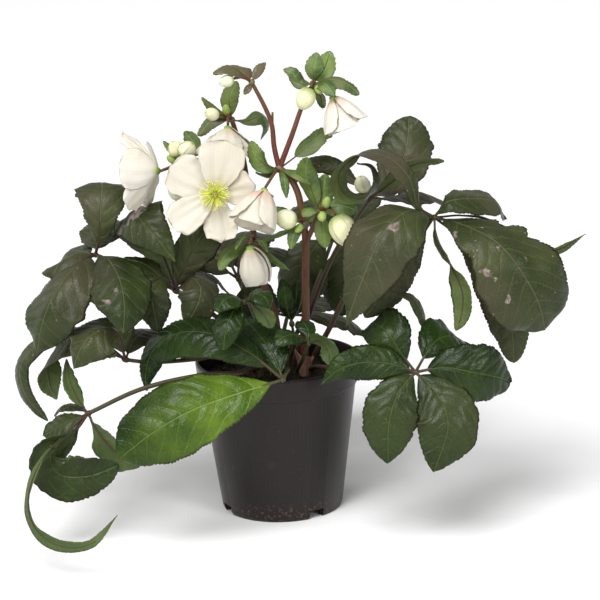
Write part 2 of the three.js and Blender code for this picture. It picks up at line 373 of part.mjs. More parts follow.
// Buds in their white sepals: [end of its stalk, tip, radius].
const BUDS = {
  bud_top: [[22, 335, 22], [14, 317, 24], 6.8],
  bud_top_left: [[-39, 342, 27], [-51, 338, 31], 4.4],
  bud_right: [[42, 233, 46], [54.5, 208, 54], 9.7],
  bud_centre: [[11, 228, 39], [-6, 231, 45], 7.4],
  bud_inner: [[65, 250.8, 25.2], [62, 264, 28], 6],
  bud_pair_left: [[-83, 279, 10], [-88, 292, 9], 6.2],
  bud_pair_right: [[-81.4, 279.8, 18.4], [-72, 290, 21], 6.8],
  bud_side: [[-52, 312, -2], [-62, 315, 6], 4.8],
  bud_left: [[-84, 261, 12], [-85, 244, 17], 7.2],
};

// ---- Drafting --------------------------------------------------------------------------------------
const point = (x, y, z) => new THREE.Vector3(x, y, z);
const SHEET_UP = point(0, sin(SHEET.tilt), cos(SHEET.tilt));
const SHEET_OUT = point(0, -cos(SHEET.tilt), sin(SHEET.tilt));

// The sheet stands on the pot's axis, a little below the foot, and leans sideways.
function onSheet(across, up) {
  const right = across * cos(SHEET.lean) + up * sin(SHEET.lean);
  const rise = up * cos(SHEET.lean) - across * sin(SHEET.lean);
  return point(right, 0, -SHEET.drop).addScaledVector(SHEET_UP, rise);
}
const EYE = onSheet(...SHEET.centre).addScaledVector(SHEET_OUT, SHEET.eye);

// The point seen at [across, up] that stands `forward` of the pot's axis.
function at([across, up, forward]) {
  const sight = onSheet(across, up).sub(EYE);
  return sight.multiplyScalar((-forward - EYE.y) / sight.y).add(EYE);
}
const facing = ([right, up, forward]) => point(right, -forward, up);

// A smooth curve through the points, read by its length.
function curveThrough(points) {
  const curve = new THREE.CatmullRomCurve3(points, false, "centripetal");
  curve.arcLengthDivisions = 120;
  return curve;
}

// The facing at share t of a blade's length, from the few that it is given.
function facingAt(facings, t) {
  const last = facings.length - 1;
  const station = t * last;
  const k = min(Math.floor(station), max(last - 1, 0));
  return facing(facings[k]).lerp(facing(facings[min(k + 1, last)]), station - k);
}

// ---- Solids ----------------------------------------------------------------------------------------
function solidOf(geometry) {
  for (const name of Object.keys(geometry.attributes)) {
    if (name !== "position") geometry.deleteAttribute(name);
  }
  const merged = mergeVertices(geometry, 1e-4);
  const vertProperties = new Float32Array(merged.attributes.position.array);
  const triVerts = new Uint32Array(merged.index.array);
  return new wasm.Manifold(new wasm.Mesh({ numProp: 3, vertProperties, triVerts }));
}

function geometryOf(solid) {
  const mesh = solid.getMesh();
  const geometry = new THREE.BufferGeometry();
  geometry.setAttribute("position", new THREE.BufferAttribute(mesh.vertProperties, 3));
  geometry.setIndex(new THREE.BufferAttribute(mesh.triVerts, 1));
  return geometry;
}

// Everything joined in one body, with its specks and loose scraps dropped.
function fuse(solids, less = null) {
  let joined = wasm.Manifold.union(solids);
  if (less) joined = joined.subtract(less);
  const bodies = joined.simplify(0.05).decompose();
  return bodies.reduce((best, body) => (body.volume() > best.volume() ? body : best));
}

// Leaf outline: half width at share t of the length, 1 at the widest place.
function outline(t, widest, fullness) {
  const rise = (t / widest) ** min(fullness * widest, 0.85);
  return rise * ((1 - t) / (1 - widest)) ** (fullness * (1 - widest));
}

// A thin blade with rows at the given shares of its length, the first `bare` of them without a fold.
// vertex(t, side, inset) gives a place and the way it faces, for side -1, 0 or 1. A toothed blade has a
// notch in its edges between each two folded rows.
function bladeSolid(vertex, shares, bare, tooth = 0) {
  const positions = [];
  const index = [];
  const add = ({ place, normal }) => {
    for (const lift of [0.5, -0.5]) {
      const p = place.clone().addScaledVector(normal, lift * BLADE.thick);
      positions.push(p.x, p.y, p.z);
    }
    return positions.length / 3 - 2; // the upper vertex of the pair, whose lower one is the next
  };
  const both = (a, b, c) => index.push(a, b, c, a + 1, c + 1, b + 1);
  const rim = (a, b) => index.push(a, b, a + 1, b, b + 1, a + 1);
  const edges = (t, inset) => ({ left: add(vertex(t, -1, inset)), right: add(vertex(t, 1, inset)) });
  let from = edges(shares[0], 0);
  rim(from.right, from.left);
  for (let k = 1; k < shares.length; k++) {
    const to = edges(shares[k], 0);
    if (k >= bare) to.rib = add(vertex(shares[k], 0, 0));
    if (k < bare) {
      both(from.left, from.right, to.right);
      both(from.left, to.right, to.left);
    } else if (k === bare) {
      both(from.left, from.right, to.rib);
      both(from.right, to.right, to.rib);
      both(from.left, to.rib, to.left);
    } else if (tooth) {
      const notch = edges(shares[k - 1] * 0.4 + shares[k] * 0.6, tooth);
      both(from.rib, notch.right, to.rib);
      both(from.rib, from.right, notch.right);
      both(to.rib, notch.right, to.right);
      both(from.rib, to.rib, notch.left);
      both(from.rib, notch.left, from.left);
      both(to.rib, to.left, notch.left);
      rim(notch.right, from.right);
      rim(to.right, notch.right);
      rim(from.left, notch.left);
      rim(notch.left, to.left);
    } else {
      both(from.rib, from.right, to.rib);
      both(to.rib, from.right, to.right);
      both(from.rib, to.rib, from.left);
      both(to.rib, to.left, from.left);
    }
    if (!tooth || k <= bare) {
      rim(to.right, from.right);
      rim(from.left, to.left);
    }
    from = to;
  }
  rim(from.left, from.rib);
  rim(from.rib, from.right);
  const geometry = new THREE.BufferGeometry();
  geometry.setAttribute("position", new THREE.Float32BufferAttribute(positions, 3));
  geometry.setIndex(index);
  return solidOf(geometry);
}

// A leaflet or bract: a blade along a curve, folded along its rib, with bare stalk at its base.
function leafBlade(points, half, facings, shape) {
  const { droop, stalk, steps, widest, fullness = 1.7, tooth = 0, wave = 0 } = shape;
  const curve = curveThrough(points);
  const fold = radians(droop);
  const vertex = (t, side, inset) => {
    const tangent = curve.getTangentAt(t);
    const normal = facingAt(facings, t);
    normal.addScaledVector(tangent, -normal.dot(tangent)).normalize();
    const across = tangent.cross(normal);
    const share = min(max(0, (t - stalk) / (1 - stalk)), 0.999);
    const least = t > 0.9 ? BLADE.tip : BLADE.stalk;
    const wide = abs(side) * max(half * outline(share, widest, fullness) - inset, least);
    const ripple = abs(side) * wave * share * sin(2 * PI * (2.5 * t + (side > 0 ? 0.2 : 0.55)));
    const place = curve.getPointAt(t).addScaledVector(across, side * wide * cos(fold));
    return { place: place.addScaledVector(normal, ripple - wide * sin(fold)), normal };
  };
  const shares = [0];
  for (let k = 0; k < steps; k++) shares.push(min(1, stalk + ((1 - stalk) * k) / (steps - 1)));
  return bladeSolid(vertex, shares, 2, tooth);
}

// A round stalk along the points: a cylinder bent to the curve. `straight` is how far it runs straight.
function stalkAlong(points, from, to, { sides = 5, step = 24, straight = 0 }) {
  const curve = curveThrough(points);
  const length = curve.getLength();
  const pieces = max(2, Math.round((length - straight) / step));
  const first = straight / length;
  const shares = straight ? [0] : [];
  for (let k = 0; k <= pieces; k++) shares.push(min(1, first + ((1 - first) * k) / pieces));
  const last = shares.length - 1;
  const geometry = new THREE.CylinderGeometry(1, 1, last, sides, last);
  const position = geometry.attributes.position;
  const normal = point(0.31, -0.95, 0.04);
  const rows = shares.map((share) => {
    const tangent = curve.getTangentAt(share);
    normal.addScaledVector(tangent, -normal.dot(tangent)).normalize();
    return { centre: curve.getPointAt(share), normal: normal.clone(), side: tangent.cross(normal) };
  });
  for (let i = 0; i < position.count; i++) {
    const k = Math.round(position.getY(i) + last / 2);
    const radius = from + (to - from) * shares[k];
    const p = rows[k].centre.clone().addScaledVector(rows[k].normal, position.getX(i) * radius)
      .addScaledVector(rows[k].side, -position.getZ(i) * radius);
    position.setXYZ(i, p.x, p.y, p.z);
  }
  return solidOf(geometry);
}

// A pointed egg from base to tip.
function egg(base, tip, radius, sides = 7, rings = 5) {
  const length = base.distanceTo(tip);
  const profile = [];
  for (let k = 0; k <= rings; k++) {
    const t = k / rings;
    const width = k === 0 || k === rings ? 0 : radius * outline(t, 0.42, 0.95);
    profile.push(new THREE.Vector2(width, t * length));
  }
  const geometry = new THREE.LatheGeometry(profile, sides);
  const turn = new THREE.Quaternion().setFromUnitVectors(point(0, 1, 0), tip.clone().sub(base).normalize());
  geometry.applyMatrix4(new THREE.Matrix4().compose(base, turn, point(1, 1, 1)));
  return solidOf(geometry);
}

function knob(place, radius) {
  return solidOf(new THREE.OctahedronGeometry(radius, 0).translate(place.x, place.y, place.z));
}

// ---- Pot and soil ----------------------------------------------------------------------------------
// A profile of [radius, height] turned round the pot's axis.
function lathe(profile, sides) {
  const points = profile.map(([r, z]) => new THREE.Vector2(r, z));
  return new THREE.LatheGeometry(points, sides).rotateX(PI / 2);
}

function makePot() {
  const { height, rimRadius, collarRadius, collarHeight, shoulderRadius } = POT;
  const { footRadius, footRound, wall, floorHeight } = POT;
  const shoulder = height - collarHeight;
  const footOuter = footRadius - footRound / 2;
  const footInner = footOuter - POT.footWidth;
  const profile = [
    [0, 0], [POT.padRadius, 0], [POT.padRadius + 1, floorHeight], [footInner - 1, floorHeight],
    [footInner, 0], [footOuter, 0], [footRadius, footRound], [shoulderRadius, shoulder],
    [collarRadius, shoulder + 1.2],
    [rimRadius, height - 1.6], [rimRadius - 0.6, height],
    [rimRadius - wall - 0.9, height], [collarRadius - wall, shoulder + 1.2],
    [shoulderRadius - wall, shoulder - 0.4],
    [footRadius - wall, floorHeight + wall], [0, floorHeight + wall],
  ];
  let pot = solidOf(lathe(profile, POT.sides));
  for (const angle of POT.notchAngles) {
    const turn = radians(angle - 90);
    const notch = new THREE.BoxGeometry(15, POT.notchWidth, POT.notchHeight * 2);
    const drain = new THREE.CylinderGeometry(POT.drainRadius, POT.drainRadius, 8, 10).rotateX(PI / 2);
    pot = pot.subtract(solidOf(notch.translate(footRadius, 0, 0).rotateZ(turn)));
    pot = pot.subtract(solidOf(drain.translate(POT.drainRing, 0, floorHeight).rotateZ(turn)));
  }
  return pot;
}

// The inside of the pot's wall at height z, below the collar.
function potInside(z) {
  const { shoulderRadius, footRadius, wall, floorHeight, height, collarHeight } = POT;
  const low = floorHeight + wall;
  const high = height - collarHeight - 0.4;
  return footRadius - wall + ((shoulderRadius - footRadius) * (z - low)) / (high - low);
}

function makeSoil(feet) {
  const floor = POT.floorHeight + POT.wall + FIT;
  const rimHeight = POT.height - POT.collarHeight - 0.6;
  const edge = SOIL.top - SOIL.dome;
  const top = POT.collarRadius - POT.wall - 1;
  const sides = [[potInside(floor) - 1, floor], [potInside(rimHeight) - 1, rimHeight]];
  const profile = [[0, floor], ...sides, [top, edge]];
  for (let k = SOIL.rings - 1; k >= 0; k--) {
    const share = k / SOIL.rings;
    profile.push([top * share, SOIL.top - SOIL.dome * share ** 3]);
  }
  const geometry = lathe(profile, SOIL.sides);
  const position = geometry.attributes.position;
  for (let i = 0; i < position.count; i++) {
    const [x, y, z] = [position.getX(i), position.getY(i), position.getZ(i)];
    if (z < edge + 0.1 || sqrt(x * x + y * y) < 1) continue;
    position.setZ(i, z + SOIL.lump * (sin(x * 0.31 + y * 0.17) + sin(y * 0.37 - x * 0.11)));
  }
  let soil = solidOf(geometry);
  for (const { foot: [x, y], thick } of feet) {
    const radius = (thick + FIT) / cos(PI / 6);
    const hole = new THREE.CylinderGeometry(radius, radius, SOIL.hole * 2, 6).rotateX(PI / 2);
    soil = soil.subtract(solidOf(hole.translate(x, y, SOIL.top)));
  }
  return soil;
}

// ---- Plant -----------------------------------------------------------------------------------------
// How far a stalk runs straight up: out of its hole in the soil and a little above it.
const STRAIGHT = SOIL.hole + 3;

// A stalk's stations, from the bottom of its hole on through the others.
function fromSoil([x, y], stations) {
  const heights = [FIT - SOIL.hole, -6, 0, 3, 8];
  return [...heights.map((z) => point(x, y, SOIL.top + z)), ...stations.map(at)];
}

function makeLeaf(leaf) {
  const hub = at(leaf.stalk.at(-1));
  const path = fromSoil(leaf.foot, leaf.stalk);
  const stalk = stalkAlong(path, leaf.thick, leaf.thick * 0.72, { straight: STRAIGHT });
  const solids = [knob(hub, 3.4), stalk];
  for (const [stations, half, facings, droop, bare, widest] of leaf.leaflets) {
    const points = [hub, ...stations.map(at)];
    const steps = max(4, min(9, Math.round(curveThrough(points).getLength() / 22)));
    const tooth = min(BLADE.tooth, half * 0.12);
    const shape = { droop, stalk: bare, steps, widest, tooth, wave: half * 0.08 };
    solids.push(leafBlade(points, half, facings, shape));
  }
  return fuse(solids);
}

// The stalks of a flower stem, `more` thicker than they are.
function stemStalks(stem, more) {
  const stations = fromSoil(stem.foot, stem.stalk);
  const shape = { sides: 6, straight: STRAIGHT };
  const solids = [stalkAlong(stations, stem.thick + more, stem.tip + more, shape)];
  for (const [along, from, to] of stem.branches) {
    solids.push(stalkAlong(along.map(at), from + more, to + more, { sides: 4, step: 18 }));
  }
  return solids;
}

// The point that stands off from a stalk's end, on the way to a flower's or bud's tip.
function seatOn(end, tip) {
  return end.clone().addScaledVector(tip.clone().sub(end).normalize(), SEAT);
}

function makeStem(stem) {
  const buds = stem.buds.map(([base, tip, radius]) => egg(at(base), at(tip), radius, 6, 4));
  return fuse([...stemStalks(stem, 0), ...buds]);
}

function makeTuft(tuft) {
  const middle = at(tuft.at);
  const blades = tuft.bracts.map(([stations, half, facings, droop, stalk]) => {
    const shape = { droop, stalk, steps: half > 6.5 ? 4 : 3, widest: 0.5, fullness: 1.4 };
    return leafBlade([middle, ...stations.map(at)], half, facings, shape);
  });
  const stalks = wasm.Manifold.union(stemStalks(STEMS[tuft.stem], FIT));
  return fuse([knob(middle, tuft.size), ...blades], stalks);
}

// The flower's own directions: the way it looks, and right and up as one it looks at sees them.
function flowerFrame(axis) {
  const out = facing(axis).normalize();
  const level = abs(out.z) > 0.9 ? point(0, -1, 0) : point(0, 0, 1);
  const up = level.addScaledVector(out, -level.dot(out)).normalize();
  return { out, up, right: up.clone().cross(out) };
}

// A sepal wraps round the flower's axis like the side of a bell. Levels keep neighbours apart.
function sepalBlade(seat, frame, [angle, length, half, base, tip], level) {
  const parts = 24;
  const profile = [[1.2, 0, radians(base)]];
  for (let k = 0; k < parts; k++) {
    const lean = radians(base + ((tip - base) * (k + 0.5)) / parts);
    const [radius, height] = profile[k];
    profile.push([radius + (sin(lean) * length) / parts, height + (cos(lean) * length) / parts, lean]);
  }
  const vertex = (t, side) => {
    const [radius, height, lean] = profile[Math.round(t * parts)];
    const wide = max(half * outline(min(t, 0.999), 0.6, 0.95), 1.2);
    const turn = radians(angle) - side * min(wide / radius, 1.15);
    const outward = frame.right.clone().multiplyScalar(cos(turn)).addScaledVector(frame.up, sin(turn));
    const normal = frame.out.clone().multiplyScalar(sin(lean)).addScaledVector(outward, -cos(lean));
    const place = seat.clone().addScaledVector(outward, radius).addScaledVector(frame.out, height);
    return { place: place.addScaledVector(normal, -1.25 * level), normal };
  };
  return bladeSolid(vertex, [0, 0.25, 0.5, 0.75, 1], 1);
}

function makeBloom(bloom) {
  const frame = flowerFrame(bloom.axis);
  const base = at(bloom.base).addScaledVector(frame.out, SEAT);
  const seat = base.clone().addScaledVector(frame.out, RECEPTACLE.below);
  const top = seat.clone().addScaledVector(frame.out, RECEPTACLE.above);
  const levels = [0, 1, 0, 1, 2];
  const sepals = bloom.sepals.map((sepal, i) => sepalBlade(seat, frame, sepal, levels[i]));
  return fuse([egg(base, top, RECEPTACLE.radius, 6, 3), ...sepals]);
}

// A ring of stamens round the pistils, standing clear above the sepals.
function makeStamens({ base, axis, stamens, sepals }) {
  const frame = flowerFrame(axis);
  const foot = at(base).addScaledVector(frame.out, 2 * SEAT + RECEPTACLE.below + RECEPTACLE.above);
  const spread = min(...sepals.map((sepal) => sepal[3]));
  const count = stamens > 10 ? 16 : 0;
  const width = count ? 0.24 : 0.4;
  const solids = [egg(foot, foot.clone().addScaledVector(frame.out, stamens * 0.6), stamens * width, 6, 3)];
  for (let i = 0; i < count; i++) {
    const turn = (2 * PI * i) / count;
    const lean = radians(spread * (i % 2 ? 0.7 : 0.85));
    const way = frame.right.clone().multiplyScalar(cos(turn) * sin(lean))
      .addScaledVector(frame.up, sin(turn) * sin(lean)).addScaledVector(frame.out, cos(lean));
    const needle = new THREE.CylinderGeometry(0.8, 0.45, stamens, 3, 1).translate(0, stamens / 2, 0);
    needle.applyQuaternion(new THREE.Quaternion().setFromUnitVectors(point(0, 1, 0), way));
    const start = foot.clone().addScaledVector(frame.out, stamens * 0.1);
    solids.push(solidOf(needle.translate(start.x, start.y, start.z)));
  }
  return fuse(solids);
}

// ---- The scene -------------------------------------------------------------------------------------
const FINISH = {
  pot: { color: 0x2c2b2d, roughness: 0.55 },
  soil: { color: 0x241a12, roughness: 1 },
  dark: { color: 0x34452c, roughness: 0.5 },
  bright: { color: 0x3f7421, roughness: 0.4 },
  stem: { color: 0x7a4a3c, roughness: 0.6 },
  bract: { color: 0x4c6a2c, roughness: 0.5 },
  sepal: { color: 0xf1eadb, roughness: 0.6 },
  stamen: { color: 0xd9d54a, roughness: 0.6 },
  bud: { color: 0xe9ebbe, roughness: 0.55 },
};
const plant = new THREE.Group();

function place(name, solid, finish) {
  const material = new THREE.MeshStandardMaterial({ metalness: 0, ...FINISH[finish] });
  const mesh = new THREE.Mesh(geometryOf(solid), material);
  mesh.name = name;
  plant.add(mesh);
}

place("pot", makePot(), "pot");
place("soil", makeSoil([...LEAVES, ...STEMS]), "soil");
for (const leaf of LEAVES) place(leaf.name, makeLeaf(leaf), leaf.tone);
for (const stem of STEMS) place(stem.name, makeStem(stem), "stem");
for (const tuft of TUFTS) place(tuft.name, makeTuft(tuft), "bract");
for (const bloom of BLOOMS) {
  place(bloom.name, makeBloom(bloom), "sepal");
  if (bloom.stamens) place(bloom.name + "_stamens", makeStamens(bloom), "stamen");
}
for (const [name, [end, tip, radius]] of Object.entries(BUDS)) {
  place(name, egg(seatOn(at(end), at(tip)), at(tip), radius), "bud");
}

export default plant;
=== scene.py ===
# %% [markdown]
# # A hellebore in its pot
#
# A hellebore, or Christmas rose, is a garden perennial: leathery leaves made of toothed leaflets rise on
# long stalks straight from the soil, and reddish stems carry tufts of bracts, white flowers and buds.
# The solid parts are already drafted, at true size. Here every leaf, stem and flower is built again
# with a finer mesh in the same place, and is given the skin that the living plant has.

# %% The drafted parts
from math import cos, pi, radians, sin

import bmesh
import bpy
import numpy as np
from mathutils import Matrix, Vector
from mathutils import noise as field


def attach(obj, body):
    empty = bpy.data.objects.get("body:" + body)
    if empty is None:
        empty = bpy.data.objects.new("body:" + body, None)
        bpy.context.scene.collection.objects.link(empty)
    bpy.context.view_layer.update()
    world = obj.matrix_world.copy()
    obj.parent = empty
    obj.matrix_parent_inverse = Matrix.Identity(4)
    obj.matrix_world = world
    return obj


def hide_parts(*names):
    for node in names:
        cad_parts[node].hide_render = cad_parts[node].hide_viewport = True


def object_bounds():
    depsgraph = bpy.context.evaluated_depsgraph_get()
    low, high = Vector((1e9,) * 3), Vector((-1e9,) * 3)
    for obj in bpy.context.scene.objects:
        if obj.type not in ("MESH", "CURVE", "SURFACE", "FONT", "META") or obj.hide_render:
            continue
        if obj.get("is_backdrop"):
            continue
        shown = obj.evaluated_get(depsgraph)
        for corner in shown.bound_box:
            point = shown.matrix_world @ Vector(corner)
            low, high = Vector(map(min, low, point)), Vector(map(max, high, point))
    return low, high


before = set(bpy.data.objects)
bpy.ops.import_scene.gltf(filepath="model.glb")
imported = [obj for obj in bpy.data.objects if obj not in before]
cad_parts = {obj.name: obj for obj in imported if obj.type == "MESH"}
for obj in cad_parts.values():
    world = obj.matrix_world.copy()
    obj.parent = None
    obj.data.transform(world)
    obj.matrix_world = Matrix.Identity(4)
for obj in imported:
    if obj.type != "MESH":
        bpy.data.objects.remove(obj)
DRAFT_BOX = [list(corner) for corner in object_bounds()]
MM = 0.001
print("nodes:", len(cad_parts), "box:", [round(b - a, 3) for a, b in zip(*DRAFT_BOX)])

# %% [markdown]
# ## The drawing sheet
#
# A plant is easiest to place from its front. Every station below is [across, up, forward] in millimetres:
# where the point is seen on a sheet that stands on the pot's axis, tilted back as the eye looks down on
# the plant, and how far it stands in front of that axis. `at` turns a station into a point in space.

# %% From stations to points
TILT, LEAN = radians(15.5), radians(2)  # of the sheet, backwards and sideways
EYE_DISTANCE, SHEET_CENTRE = 2200, (13.6, 164.8)
DROP = 3.2  # from the pot's foot down to the sheet's zero
SHEET_UP = np.array((0, sin(TILT), cos(TILT)))
SHEET_OUT = np.array((0, -cos(TILT), sin(TILT)))


def on_sheet(across, up):
    right = across * cos(LEAN) + up * sin(LEAN)
    rise = up * cos(LEAN) - across * sin(LEAN)
    return np.array((right, 0, -DROP)) + SHEET_UP * rise


EYE = on_sheet(*SHEET_CENTRE) + SHEET_OUT * EYE_DISTANCE


def at(station):
    across, up, forward = station
    sight = on_sheet(across, up) - EYE
    return EYE + sight * ((-forward - EYE[1]) / sight[1])


def facing(direction):
    right, up, forward = direction
    return np.array((right, -forward, up), float)


def unit(rows):
    return rows / np.maximum(np.linalg.norm(rows, axis=-1, keepdims=True), 1e-9)


print("the eye stands at", EYE.round(), "mm")

# %% [markdown]
# ## The camera
#
# A long lens from two metres away keeps the plant's proportions. The camera looks along the sheet's own
# normal, and rolls by the sheet's small lean, so that the pot stands a touch off the vertical.

# %% The camera
SENSOR, VIEW_WIDTH, VIEW_END = 36, 480, 60  # mm on the sensor, mm on the sheet, metres away


def add_object(name, data):
    """Puts an object that shows a mesh, a camera or a light into the scene."""
    body = bpy.data.objects.new(name, data)
    bpy.context.collection.objects.link(body)
    return body


camera = add_object("camera", bpy.data.cameras.new("camera"))
camera.data.sensor_width = SENSOR
camera.data.lens = SENSOR * EYE_DISTANCE / VIEW_WIDTH
camera.data.clip_end = VIEW_END
right_axis = Vector((cos(LEAN), 0, 0)) - Vector(SHEET_UP) * sin(LEAN)
up_axis = Vector((sin(LEAN), 0, 0)) + Vector(SHEET_UP) * cos(LEAN)
turn = Matrix((right_axis, up_axis, Vector(SHEET_OUT))).transposed()
camera.matrix_world = Matrix.Translation(Vector(EYE) * MM) @ turn.to_4x4()
bpy.context.scene.camera = camera
bpy.context.scene.view_settings.view_transform = "Standard"
print("lens", camera.data.lens, "mm")

# %% [markdown]
# ## The leaves' measurements
#
# Every leaf has a foot in the soil, a stalk that ends in a hub, and leaflets that spread from the hub. A
# leaflet is [stations of its rib, half width, the ways its upper side faces from base to tip as [right,
# up, forward], droop of its halves in degrees, share of bare stalk, share at which it is widest]. The last
# two are left out where they are the usual ones.

